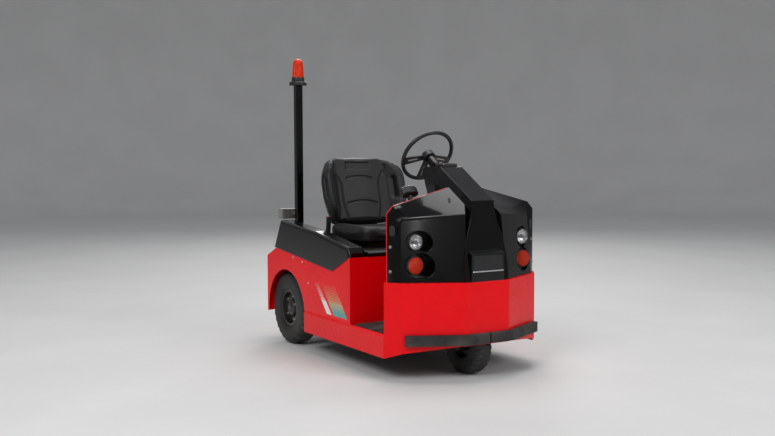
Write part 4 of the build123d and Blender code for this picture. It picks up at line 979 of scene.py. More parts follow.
@dataclass
class Wheel:
    """One wheel: a treaded tyre in the place of its plain node, and the fittings of its rim.

    The section and the tread are written in shares: across of the half width, up of the height over the rim,
    and round of the pitch of the lugs. A pair gives where a change starts and where it ends.
    """

    bench: Bench
    label: str
    tyre_node: str
    rim_node: str
    body: Body
    outward: int
    lugs: int
    groove: float
    nuts: int = 0
    nut_circle: float = 0.071
    nut_stand: float = 0.031
    nut_size: Point3 = (10.5 * MM, 13.0 * MM, 6.0 * MM)
    cap_stand: float = 18.5 * MM
    bead_sink: float = 4.0 * MM
    steps_per_lug: int = 12
    section_steps: int = 44
    squareness: float = 0.42
    wall_steps: int = 12
    wall_height: float = 0.34
    wall_foot: float = 0.84
    wall_rings: tuple[int, ...] = (4, 5, 8, 9)
    wall_ring_swell: float = 0.02
    slant: float = 0.35
    bar_opens: Point2 = (0.50, 0.58)
    bar_closes: Point2 = (0.92, 1.00)
    middle_rib: Point2 = (0.12, 0.20)
    ring_opens: Point2 = (0.30, 0.34)
    ring_closes: Point2 = (0.38, 0.42)
    ring_depth: float = 0.6
    shoulder: Point2 = (0.74, 0.86)
    crisp: float = 50.0

    CAP_PROFILE = (
        (0.0, 0.0), (0.044, 0.0), (0.046, 0.004), (0.042, 0.009), (0.026, 0.012), (0.02, 0.017),
        (0.0, 0.018),
    )

    def build(self) -> None:
        """Make the tyre and the fittings."""
        low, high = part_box(self.tyre_node)
        rim_low, rim_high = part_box(self.rim_node)
        centre = (low + high) / 2
        radius = (high.z - low.z) / 2
        inner = (rim_high.z - rim_low.z) / 2 - self.bead_sink
        shape = self._tyre(radius, inner, (high.y - low.y) / 2)
        placed = shape.placed(stand(centre, Vector((0, self.outward, 0))))
        name = f"tyre_{self.label}"
        self.bench.piece(name, placed, "tyre", self.body, Slot.TYRE, self.crisp, [self.tyre_node])
        if self.nuts:
            self._fittings(centre, rim_high if self.outward > 0 else rim_low)

    def _section(self) -> list[Point2]:
        """Tyre section as shares across and up, from bead to bead over the tread.

        Returns:
            The points of the section.
        """
        wall = []
        for step in range(self.wall_steps):
            share = step / self.wall_steps
            bulge = self.wall_foot + (1.0 - self.wall_foot) * math.sin(share * TAU / 4)
            swell = self.wall_ring_swell if step in self.wall_rings else 0.0
            wall.append((bulge + swell, self.wall_height * share))
        tread = []
        for step in range(self.section_steps + 1):
            turn = math.pi * step / self.section_steps
            across = math.copysign(abs(math.cos(turn)) ** self.squareness, math.cos(turn))
            up = self.wall_height + (1.0 - self.wall_height) * math.sin(turn) ** self.squareness
            tread.append((across, up))
        return wall + tread + [(-across, up) for across, up in wall[::-1]]

    def _cut(self, turn: float, across: float, up: float) -> float:
        """Find how deep the tread is cut at a point.

        Args:
            turn: Place round the tyre, as a share of a full turn.
            across: Place across it.
            up: Place up its section.

        Returns:
            The share of the groove's depth that is cut away.
        """
        side = abs(across)
        half = 0.5 if across > 0 else 0.0
        phase = (turn * self.lugs + half + self.slant * side) % 1.0
        bar = smooth_step(phase, *self.bar_opens) * (1.0 - smooth_step(phase, *self.bar_closes))
        bar *= smooth_step(side, *self.middle_rib)
        ring = smooth_step(side, *self.ring_opens) * (1.0 - smooth_step(side, *self.ring_closes))
        return max(bar, self.ring_depth * ring) * smooth_step(up, *self.shoulder)

    def _tyre(self, radius: float, inner: float, half_width: float) -> Shape:
        """Make the closed ring of the tyre with its lugs, about Z.

        Args:
            radius: Radius over the tread.
            inner: Radius at the bead.
            half_width: Half of the tyre's width.

        Returns:
            The shape.
        """
        section = self._section()
        steps = self.lugs * self.steps_per_lug
        rows = []
        for index in range(steps):
            turn = TAU * index / steps
            row = []
            for across, up in section:
                r = inner + (radius - inner) * up - self.groove * self._cut(index / steps, across, up)
                y = half_width * max(-1.0, min(1.0, across))
                row.append(Vector((r * math.cos(turn), r * math.sin(turn), y)))
            rows.append(row)
        return Shape.grid(rows, wrap_rows=True, wrap_columns=True)

    def _fittings(self, centre: Vector, face: Vector) -> None:
        """Make the wheel nuts on the dished disc, and the hub cap.

        Args:
            centre: Middle of the wheel.
            face: Corner of the rim's box on the outer side.
        """
        out = Vector((0, self.outward, 0))
        middle = Vector((centre.x, face.y, centre.z))
        nuts = Shape()
        for index in range(self.nuts):
            turn = TAU * index / self.nuts
            spoke = Vector((math.cos(turn), 0, math.sin(turn))) * self.nut_circle
            spot = middle - out * self.nut_stand + spoke
            nuts.add(wheel_nut(*self.nut_size).placed(stand(spot, out)))
        self.bench.piece(f"wheel_nuts_{self.label}", nuts, "bolt_zinc", self.body, Slot.PIN_STEEL)
        cap = Shape.lathe(self.CAP_PROFILE).placed(stand(middle - out * self.cap_stand, out))
        self.bench.piece(f"hub_cap_{self.label}", cap, "wheel_black", self.body, Slot.WHEEL_BLACK)


def wheel_nut(radius: float, height: float, stud: float) -> Shape:
    """Make a hexagon nut on its washer, with the stud's end through it.

    Args:
        radius: From the middle to a corner.
        height: Height of the nut.
        stud: How far the stud stands out of the nut.

    Returns:
        The shape, standing on the level Z = 0.
    """
    washer, foot, bolt, top = radius * 1.25, height * 0.15, radius * 0.5, height + stud
    made = Shape.lathe([(0.0, 0.0), (washer, 0.0), (washer, foot), (0.0, foot)], 20)
    corners = [(radius * math.cos(TAU * k / 6), radius * math.sin(TAU * k / 6)) for k in range(6)]
    made.add(Shape.prism(corners, height, height * 0.1))
    made.add(Shape.lathe([(bolt, height), (bolt, top), (0.0, top)], 14))
    return made


def dome_screw(radius: float) -> Shape:
    """Make a low round screw head with a socket.

    Args:
        radius: Radius of the head.

    Returns:
        The shape, standing on the level Z = 0.
    """
    rise = radius * 0.55
    profile = [
        (radius, 0.0), (radius * 0.97, rise * 0.4), (radius * 0.75, rise * 0.85), (radius * 0.45, rise),
        (radius * 0.42, rise * 0.4), (0.0, rise * 0.4),
    ]
    return Shape.lathe(profile, 20)


@dataclass
class SeatUpholstery:
    """Vinyl cushion and winged backrest, swollen by a cloth simulation and then sewn.

    Places on the backrest are measured from its foot, and its shares are of its length. A pair gives where a
    change starts and where it ends.
    """

    bench: Bench
    lean: float = math.radians(16.0)
    back_thickness: float = 0.085
    back_fill: float = 0.75
    back_relax: int = 20
    cushion_fill: float = 0.8
    cushion_relax: int = 8
    voxel: float = 6.0 * MM
    swell_pressure: float = 3.0
    swell_frames: int = 14
    swell_cap: float = 4.5 * MM
    seam_width: float = 10.0 * MM
    seam_depth: float = 5.0 * MM
    stitch: float = 4.0 * MM
    crest_lift: float = 14.0 * MM
    crest_inner: Point2 = (0.10, 0.15)
    crest_outer: Point2 = (0.17, 0.25)
    crest_rise: Point2 = (0.6, 0.9)
    cross_seams: tuple[Point2, ...] = ((0.70, 0.085), (0.32, 0.100))
    cross_bow: float = 1.6
    side_seam: Point2 = (0.06, 0.86)
    side_half: float = 0.125
    side_flare: float = 0.045
    side_waist: float = 0.02
    band_middle: float = 0.865
    band_across: Point2 = (0.078, 0.088)
    band_up: Point2 = (0.018, 0.027)
    band_depth: float = 6.0 * MM
    band_behind: float = -0.05
    hollow: float = 14.0 * MM
    hollow_across: Point2 = (0.06, 0.20)
    hollow_front: float = 0.3
    panel_margin: float = 0.02
    panel_corner: float = 0.07
    panel_share: float = 0.70
    row_seams: Point2 = (-0.06, 0.04)
    row_half: float = 0.16
    button_inset: float = 16.0 * MM

    def __post_init__(self) -> None:
        """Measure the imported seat."""
        self.back_low, self.back_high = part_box("seat_backrest")
        self.cushion_low, self.cushion_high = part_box("seat_cushion")
        foot = self.back_low.z + self.back_thickness * math.sin(self.lean)
        self.foot = Vector((self.cushion_low.x, 0, foot))
        self.rise = Vector((-math.sin(self.lean), 0, math.cos(self.lean)))
        self.front = Vector((math.cos(self.lean), 0, math.sin(self.lean)))
        self.length = (self.back_high.z - foot) / math.cos(self.lean)

    def build(self) -> None:
        """Make the cushion, the backrest and the buckle's button."""
        self._backrest()
        self._cushion()
        self._buckle()

    def _at(self, across: float, up: float) -> Vector:
        """A point by its distance across the backrest and up it."""
        return self.foot + Vector((0, across, 0)) + self.rise * up

    def _backrest(self) -> None:
        """Winged backrest with its seams and the bare band at its head."""
        made = self._soft("backrest", "seat_backrest", self.back_relax)
        self._crest(made)
        self._sew(made, self._back_seams(), self.front)
        self._press_band(made)

    def _crest(self, made: bpy.types.Object) -> None:
        """Draw the wings' tops up beside the head, so that the crest runs on smoothly.

        Args:
            made: The padded backrest.
        """
        for vertex in made.data.vertices:
            offset = vertex.co - self.foot
            across, share = abs(offset.y), offset.dot(self.rise) / self.length
            beside = smooth_step(across, *self.crest_inner) * (1.0 - smooth_step(across, *self.crest_outer))
            vertex.co += self.rise * self.crest_lift * beside * smooth_step(share, *self.crest_rise)

    def _back_seams(self) -> list[list[Vector]]:
        """Lay out the sewn lines on the front of the backrest.

        Returns:
            Points along each seam.
        """
        lines = []
        arc_steps, edge_steps = 24, 30
        for share, half in self.cross_seams:
            arc = []
            for k in range(arc_steps + 1):
                across = -half + 2 * half * k / arc_steps
                arc.append(self._at(across, self.length * share - self.cross_bow * across * across))
            lines.append(arc)
        low, high = self.side_seam
        for sign in (-1, 1):
            edge = []
            for k in range(edge_steps + 1):
                share = low + (high - low) * k / edge_steps
                flare = self.side_flare * smooth_step(share, 0.55, high)
                waist = self.side_waist * smooth_step(share, 0.3, 0.0)
                edge.append(self._at(sign * (self.side_half + flare - waist), self.length * share))
            lines.append(edge)
        return lines

    def _press_band(self, made: bpy.types.Object) -> None:
        """Press the bare band into the head of the backrest.

        Args:
            made: The padded backrest.
        """
        middle = self.band_middle * self.length
        for vertex in made.data.vertices:
            offset = vertex.co - self.foot
            if offset.dot(self.front) < self.band_behind:
                continue
            across, up = abs(offset.y), abs(offset.dot(self.rise) - middle)
            inside = (1.0 - smooth_step(across, *self.band_across)) * (1.0 - smooth_step(up, *self.band_up))
            vertex.co -= self.front * self.band_depth * inside

    def _cushion(self) -> None:
        """Seat cushion with a hollow middle and its sewn panel."""
        low, high = self.cushion_low, self.cushion_high
        centre = (low + high) / 2
        made = self._soft("cushion", "seat_cushion", self.cushion_relax)
        margin = self.panel_margin
        for vertex in made.data.vertices:
            across = 1.0 - smooth_step(abs(vertex.co.y), *self.hollow_across)
            along = 1.0 - smooth_step(vertex.co.x, centre.x - margin, high.x - margin)
            if vertex.co.z > centre.z:
                share = self.hollow_front + (1.0 - self.hollow_front) * along
                vertex.co.z -= self.hollow * across * share
        outline = rounded_rectangle(high.x - low.x - margin, high.y - low.y - margin, self.panel_corner, 8)
        scale = self.panel_share
        ring = [Vector((centre.x + x * scale, y * scale, high.z)) for x, y in outline]
        seams = [self._fine(ring + ring[:1])]
        for x in self.row_seams:
            ends = [Vector((centre.x + x, sign * self.row_half, high.z)) for sign in (-1, 1)]
            seams.append(self._fine(ends))
        self._sew(made, seams, UP)

    def _fine(self, line: Sequence[Vector]) -> list[Vector]:
        """Fill a line with points a stitch apart.

        Args:
            line: Corners of the line.

        Returns:
            The points along it.
        """
        points = []
        for start, end in zip(line, line[1:]):
            count = max(1, int((end - start).length / self.stitch))
            points.extend(start.lerp(end, k / count) for k in range(count))
        return points + [line[-1]]

    def _buckle(self) -> None:
        """Red release button in the head of the belt buckle."""
        low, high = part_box("belt_buckle")
        top = Vector((high.x - self.button_inset, (low.y + high.y) / 2, high.z))
        button = Shape.prism(rounded_rectangle(0.024, 0.010, 0.003), 0.003, 0.0008)
        placed = button.placed(stand(top, UP))
        self.bench.piece("buckle_button", placed, "red_button", Body.HOOD, Slot.RED_PAINT)

    def _soft(self, name: str, node: str, rounds: int) -> bpy.types.Object:
        """Remesh a padded form, swell it as cloth and finish it.

        Args:
            name: The piece's name.
            node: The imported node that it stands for, whose form it starts from.
            rounds: How many times its edges are smoothed before it swells.

        Returns:
            The padded piece.
        """
        shape = Shape.of_node(node)
        label = f"seat_{name}_cover"
        made = self.bench.piece(label, shape, "seat_vinyl", Body.HOOD, Slot.SEAT_VINYL, 180.0, [node])
        remesh = made.modifiers.new("even", "REMESH")
        remesh.mode = "VOXEL"
        remesh.voxel_size = self.voxel
        relax = made.modifiers.new("relax", "SMOOTH")
        relax.factor = 0.5
        relax.iterations = rounds
        self._apply(made)
        self._swell(made)
        finer = made.modifiers.new("finer", "SUBSURF")
        finer.levels = 1
        finer.render_levels = 1
        self._apply(made)
        made.data.shade_smooth()
        return made

    @staticmethod
    def _apply(made: bpy.types.Object) -> None:
        """Bake an object's modifiers into its mesh.

        Args:
            made: The object.
        """
        graph = bpy.context.evaluated_depsgraph_get()
        mesh = bpy.data.meshes.new_from_object(made.evaluated_get(graph))
        made.modifiers.clear()
        made.data = mesh

    def _swell(self, made: bpy.types.Object) -> None:
        """Blow a form up as cloth and keep each point within the cap of where it was.

        Args:
            made: The object to swell.
        """
        rest = [vertex.co.copy() for vertex in made.data.vertices]
        cloth = made.modifiers.new("swell", "CLOTH")
        cloth.settings.use_pressure = True
        cloth.settings.uniform_pressure_force = self.swell_pressure
        cloth.settings.effector_weights.gravity = 0.0
        cloth.settings.quality = 5
        cloth.point_cache.frame_start = 1
        cloth.point_cache.frame_end = self.swell_frames
        for number in range(1, self.swell_frames + 1):
            bpy.context.scene.frame_set(number)
        graph = bpy.context.evaluated_depsgraph_get()
        swollen = [vertex.co.copy() for vertex in made.evaluated_get(graph).data.vertices]
        made.modifiers.clear()
        bpy.context.scene.frame_set(1)
        for vertex, start, end in zip(made.data.vertices, rest, swollen):
            move = end - start
            if move.length > self.swell_cap:
                move = move.normalized() * self.swell_cap
            vertex.co = start + move

    def _sew(self, made: bpy.types.Object, lines: Sequence[Sequence[Vector]], out: Vector) -> None:
        """Draw the surface in along sewn lines.

        Args:
            made: The padded piece.
            lines: Points along each seam; only their place across the face counts.
            out: Direction that the sewn face looks.
        """
        points = [point - out * point.dot(out) for line in lines for point in line]
        stitches = KDTree(len(points))
        for index, point in enumerate(points):
            stitches.insert(point, index)
        stitches.balance()
        normals = [vertex.normal.copy() for vertex in made.data.vertices]
        for vertex, normal in zip(made.data.vertices, normals):
            near = stitches.find(vertex.co - out * vertex.co.dot(out))[2]
            if near < self.seam_width:
                share = (1.0 - (near / self.seam_width) ** 2) ** 2
                vertex.co -= normal * self.seam_depth * share * smooth_step(normal.dot(out), 0.1, 0.5)


@dataclass
class LampSet:
    """Round lamps of the cowl: bezel, collar, reflector, bulb and a domed lens."""

    bench: Bench
    bezel: float = 4.0 * MM
    bezel_floor: float = 4.0 * MM
    bezel_chamfer: float = 1.0 * MM
    collar: float = 6.0 * MM
    dish_floor: float = 6.0 * MM
    dish_steps: int = 8
    dome_steps: int = 16
    lens_play: float = 0.4 * MM
    lens_rings: float = 0.9 * MM
    lens_thickness: float = 2.8 * MM
    lens_taper: float = 0.96
    turns: int = 56

    BULB_PROFILE = (
        (0.0, 0.026), (0.008, 0.025), (0.011, 0.022), (0.011, 0.020), (0.005, 0.019), (0.005, 0.004),
    )

    def build(self) -> None:
        """Dress the head lamps and the turn lamps."""
        self._pair("headlamps", "lamp_clear", Slot.LAMP_CLEAR)
        self._pair("turn_lamps", "lamp_orange", Slot.LAMP_ORANGE)

    def _pair(self, node: str, lens: str, slot: Slot) -> None:
        """Make both lamps of one kind.

        Args:
            node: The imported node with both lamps.
            lens: Finish of the lens.
            slot: Slot of the lens.
        """
        low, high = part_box(node)
        radius = (high.z - low.z) / 2
        depth = high.x - low.x
        inner = radius - self.bezel
        fold = inner - self.collar
        band = [(inner - 0.6 * MM, depth * 0.61), (fold, depth * 0.63), (fold, depth * 0.5)]
        glass, ring, bowl, bulb, collar = Shape(), Shape(), Shape(), Shape(), Shape()
        for side in Side:
            centre = Vector((low.x, side.value * (high.y - radius), (low.z + high.z) / 2))
            matrix = stand(centre, FORWARD, LEFTWARD)
            ring.add(Shape.lathe(self._rim(radius, depth), self.turns).placed(matrix))
            bowl.add(Shape.lathe(self._dish(inner, depth), self.turns).placed(matrix))
            glass.add(Shape.lathe(self._lens(inner, depth), self.turns, closed=True).placed(matrix))
            bulb.add(Shape.lathe(self.BULB_PROFILE, 24).placed(matrix))
            collar.add(Shape.lathe(band, self.turns).placed(matrix))
        chassis = Body.CHASSIS
        self.bench.piece(f"{node}_lens", glass, lens, chassis, slot, 60.0, [node])
        self.bench.piece(f"{node}_bezel", ring, "bolt_black", chassis, Slot.SATIN_BLACK)
        self.bench.piece(f"{node}_collar", collar, "lamp_white", chassis, Slot.PIN_STEEL)
        self.bench.piece(f"{node}_reflector", bowl, "reflector", chassis, Slot.PIN_STEEL)
        self.bench.piece(f"{node}_bulb", bulb, "bolt_zinc", chassis, Slot.PIN_STEEL)

    def _rim(self, radius: float, depth: float) -> list[Point2]:
        """Profile of the bezel and the lamp's pot.

        Args:
            radius: Radius of the lamp.
            depth: Its depth.

        Returns:
            Points of (radius, height).
        """
        inner, floor, edge = radius - self.bezel, self.bezel_floor, self.bezel_chamfer
        outside = [(radius, 0.0), (radius, depth * 0.72), (radius - edge, depth * 0.76)]
        inside = [(inner + edge, depth * 0.76), (inner, depth * 0.72), (inner, depth * 0.6), (inner, floor)]
        return outside + inside + [(0.0, floor), (0.0, 0.0)]

    def _dish(self, inner: float, depth: float) -> list[Point2]:
        """Profile of the reflector.

        Args:
            inner: Radius inside the bezel.
            depth: Depth of the lamp.

        Returns:
            Points of (radius, height).
        """
        points = [(inner - 0.5 * MM, depth * 0.6)]
        for k in range(self.dish_steps - 1, -1, -1):
            share = k / self.dish_steps
            points.append((inner * share, self.dish_floor + depth * 0.5 * share ** 2))
        return points

    def _lens(self, inner: float, depth: float) -> list[Point2]:
        """Profile of the domed lens with its stepped rings.

        Args:
            inner: Radius inside the bezel.
            depth: Depth of the lamp.

        Returns:
            Points of (radius, height), round the outside and back along the inside.
        """
        reach = inner - self.lens_play
        dome = [(reach, depth * 0.62)]
        for k in range(self.dome_steps + 1):
            turn = TAU / 4 * k / self.dome_steps
            rise = depth * (0.72 + 0.27 * math.sin(turn)) - self.lens_rings * (k % 2)
            dome.append((reach * math.cos(turn), rise))
        back = [(r * self.lens_taper, h - self.lens_thickness) for r, h in dome[:0:-1]]
        return dome + back


@dataclass
class Beacon:
    """Ribbed beacon lens on its base, with the turning mirror inside.

    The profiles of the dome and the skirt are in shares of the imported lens's radius and height.
    """

    bench: Bench
    ribs: int = 36
    steps_per_rib: int = 4
    rib_depth: float = 1.2 * MM
    rib_foot: Point2 = (0.13, 0.20)
    rib_head: Point2 = (0.78, 0.90)

    DOME_PROFILE = (
        (0.9, 0.18), (0.95, 0.19), (0.94, 0.22), (0.88, 0.5), (0.82, 0.74), (0.78, 0.82), (0.68, 0.9),
        (0.5, 0.96), (0.25, 0.995), (0.0, 1.0),
    )
    SKIRT_PROFILE = ((0.9, 0.0), (1.0, 0.02), (1.0, 0.15), (0.98, 0.185), (0.88, 0.2), (0.0, 0.2))
    MIRROR_PROFILE = (
        (0.0, 0.012), (0.018, 0.012), (0.02, 0.016), (0.02, 0.07), (0.014, 0.085), (0.0, 0.088),
    )

    def build(self) -> None:
        """Make the lens, its collar and the mirror inside it."""
        low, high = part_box("beacon_lens")
        centre = (low + high) / 2
        radius = (high.x - low.x) / 2
        height = high.z - low.z
        matrix = Matrix.Translation(Vector((centre.x, centre.y, low.z)))
        lens = self._dome(radius, height).placed(matrix)
        chassis = Body.CHASSIS
        self.bench.piece(
            "beacon_dome", lens, "beacon_orange", chassis, Slot.LAMP_ORANGE, 30.0, ["beacon_lens"]
        )
        collar = Shape.lathe([(radius * r, height * h) for r, h in self.SKIRT_PROFILE], 56).placed(matrix)
        self.bench.piece("beacon_collar", collar, "satin_black", chassis, Slot.SATIN_BLACK)
        mirror = Shape.lathe(self.MIRROR_PROFILE, 32).placed(matrix)
        self.bench.piece("beacon_mirror", mirror, "reflector", chassis, Slot.PIN_STEEL)

    def _dome(self, radius: float, height: float) -> Shape:
        """Make the lens with ribs that run out at its foot and head.

        Args:
            radius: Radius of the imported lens.
            height: Its height.

        Returns:
            The shape, about Z.
        """
        steps = self.ribs * self.steps_per_rib
        rows = []
        for index in range(steps):
            turn = TAU * index / steps
            wave = 0.5 - 0.5 * math.cos(TAU * index / self.steps_per_rib)
            row = []
            for r, h in self.DOME_PROFILE:
                strength = smooth_step(h, *self.rib_foot) * (1.0 - smooth_step(h, *self.rib_head))
                out = radius * r - self.rib_depth * wave * strength
                row.append(Vector((out * math.cos(turn), out * math.sin(turn), height * h)))
            rows.append(row)
        return Shape.grid(rows, wrap_rows=True)


@dataclass
class RearLamps:
    """Gaskets and screws of the tail lamps, and the lit face of the work lamp."""

    bench: Bench
    tail_width: float = 0.076
    tail_screw_inset: float = 13.0 * MM
    gasket: float = 4.0 * MM
    frame_margin: float = 4.0 * MM
    glass_margin: float = 14.0 * MM
    glass_lift: float = 4.6 * MM
    led_rows: int = 2
    led_columns: int = 4
    led_pitch: float = 20.0 * MM

    CUP_PROFILE = ((0.009, 0.0036), (0.0085, 0.0042), (0.006, 0.0034), (0.003, 0.0032), (0.0, 0.0038))

    def build(self) -> None:
        """Dress the lamps that face backwards."""
        self._tail_lamps()
        self._work_lamp()

    def _tail_lamps(self) -> None:
        """Rubber gasket under each tail lamp, and two screws in its lens."""
        low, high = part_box("tail_lamps")
        gaskets, screws = Shape(), Shape()
        tall = high.z - low.z + 2 * self.gasket
        outline = rounded_rectangle(self.tail_width + 2 * self.gasket, tall, 0.013)
        for side in Side:
            centre = Vector((high.x, side.value * (high.y - self.tail_width / 2), (low.z + high.z) / 2))
            gaskets.add(Shape.prism(outline, 0.006, 0.001).placed(stand(centre, BACKWARD, LEFTWARD)))
            for end in (-1, 1):
                reach = end * (self.tail_width / 2 - self.tail_screw_inset)
                spot = Vector((low.x, centre.y + reach, centre.z))
                screws.add(dome_screw(0.004).placed(stand(spot, BACKWARD, LEFTWARD)))
        self.bench.piece("tail_gaskets", gaskets, "rubber", Body.CHASSIS, Slot.RUBBER)
        self.bench.piece("tail_screws", screws, "bolt_zinc", Body.CHASSIS, Slot.PIN_STEEL)

    def _work_lamp(self) -> None:
        """Frame, reflector cups and glass on the back of the work lamp."""
        low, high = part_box("work_lamp")
        centre = Vector((low.x, (low.y + high.y) / 2, (low.z + high.z) / 2))
        matrix = stand(centre, BACKWARD, LEFTWARD)
        wide, tall = high.y - low.y, high.z - low.z
        margin = self.frame_margin
        rim = Shape.prism(rounded_rectangle(wide - margin, tall - margin, 0.006), 0.003, 0.0008)
        chassis = Body.CHASSIS
        self.bench.piece("work_lamp_frame", rim.placed(matrix), "satin_black", chassis, Slot.SATIN_BLACK)
        cups = Shape()
        cup = Shape.lathe(self.CUP_PROFILE, 24)
        for row in range(self.led_rows):
            for column in range(self.led_columns):
                x = (column - (self.led_columns - 1) / 2) * self.led_pitch
                y = (row - (self.led_rows - 1) / 2) * self.led_pitch
                cups.add(cup.placed(matrix @ Matrix.Translation((x, y, 0))))
        self.bench.piece("work_lamp_cups", cups, "reflector", chassis, Slot.PIN_STEEL)
        margin = self.glass_margin
        glass = Shape.prism(rounded_rectangle(wide - margin, tall - margin, 0.005), 0.002, 0.0004)
        lifted = matrix @ Matrix.Translation((0, 0, self.glass_lift))
        self.bench.piece("work_lamp_glass", glass.placed(lifted), "lamp_clear", chassis, Slot.LAMP_CLEAR)


@dataclass
class CowlTrim:
    """Blank nose plate with its bright line."""

    bench: Bench
    plate_width: float = 0.176
    plate_low: float = 0.540
    plate_high: float = 0.612
    plate_sink: float = 1.0 * MM
    line_gap: float = 4.0 * MM
    line_height: float = 6.0 * MM
    line_overlap: float = 10.0 * MM

    def build(self) -> None:
        """Make the plate and the trim."""
        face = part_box("front_cowl")[1].x
        height = self.plate_high - self.plate_low
        middle = Vector((face - self.plate_sink, 0, (self.plate_low + self.plate_high) / 2))
        matrix = stand(middle, FORWARD, LEFTWARD)
        plate = Shape.prism(rounded_rectangle(self.plate_width, height, 0.006), 0.0026, 0.0008)
        self.bench.piece("nose_plate", plate.placed(matrix), "satin_black", Body.CHASSIS, Slot.SATIN_BLACK)
        line = stand(middle - UP * (height / 2 + self.line_gap), FORWARD, LEFTWARD)
        outline = rounded_rectangle(self.plate_width + self.line_overlap, self.line_height, 0.002)
        trim = Shape.prism(outline, 0.005, 0.001).placed(line)
        self.bench.piece("nose_trim", trim, "bright_trim", Body.CHASSIS, Slot.PIN_STEEL)


@dataclass(frozen=True)
class Stripe:
    """One slanted stripe of the side: its ends along X at the bottom and the top."""

    name: str
    finish: str
    low: Point2
    high: Point2

    def ends(self, share: float) -> Point2:
        """Both ends of the stripe at a share of its height."""
        left, right = (a + (b - a) * share for a, b in zip(self.low, self.high))
        return left, right


@dataclass
class SideStripes:
    """Slanted stripes on both sides, solid below and fading into dots above."""

    bench: Bench
    z_low: float = 0.250
    z_high: float = 0.405
    solid: float = 0.45
    pitch: float = 0.0085
    dot_share: Point2 = (0.16, 0.46)
    dot_sides: int = 10
    first_row: float = 0.55
    lift: float = 0.35 * MM
    panel: float = 6.0 * MM
    stripes: tuple[Stripe, ...] = (
        Stripe("stripe_white", "stripe_white", (0.004, 0.060), (-0.142, -0.096)),
        Stripe("stripe_fade", "stripe_fade", (0.084, 0.230), (-0.060, 0.102)),
    )

    def build(self) -> None:
        """Lay every stripe on both sides."""
        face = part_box("rear_panel")[1].y + self.panel
        for stripe in self.stripes:
            for side in Side:
                shape = self._stripe(stripe)
                out = side.value * (face + self.lift)
                placed = Shape([Vector((x, out, z)) for x, z, _ in shape.points], shape.faces)
                name = f"{stripe.name}_{side.name.lower()}"
                self.bench.piece(name, placed, stripe.finish, Body.CHASSIS, Slot.RED_PAINT)

    def _stripe(self, stripe: Stripe) -> Shape:
        """Make the flat pattern of one stripe.

        Args:
            stripe: The stripe.

        Returns:
            The pattern, with the frame's X and Z as its own X and Y.
        """
        start, stop = stripe.ends(0.0), stripe.ends(self.solid)
        tall = self.z_high - self.z_low
        z_solid = self.z_low + tall * self.solid
        corners = ((start[0], self.z_low), (start[1], self.z_low), (stop[1], z_solid), (stop[0], z_solid))
        made = Shape([Vector((x, z, 0)) for x, z in corners], [(0, 1, 2, 3)])
        rows = int((self.z_high - z_solid) / self.pitch)
        small, large = self.dot_share
        for row in range(rows):
            z = z_solid + (row + self.first_row) * self.pitch
            left, right = stripe.ends((z - self.z_low) / tall)
            fade = 1.0 - (row + 0.5) / rows
            radius = self.pitch * (small + (large - small) * fade)
            for k in range(int((right - left) / self.pitch)):
                x = left + (k + 0.5 + 0.5 * (row % 2)) * self.pitch
                made.add(self._dot(x, z, radius))
        return made

    def _dot(self, x: float, z: float, radius: float) -> Shape:
        """Make one round dot of the pattern.

        Args:
            x: Its place along the side.
            z: Its height.
            radius: Its radius.

        Returns:
            The dot as one flat face.
        """
        turns = [TAU * k / self.dot_sides for k in range(self.dot_sides)]
        ring = [Vector((x + radius * math.cos(turn), z + radius * math.sin(turn), 0)) for turn in turns]
        return Shape(ring, [tuple(range(self.dot_sides))])


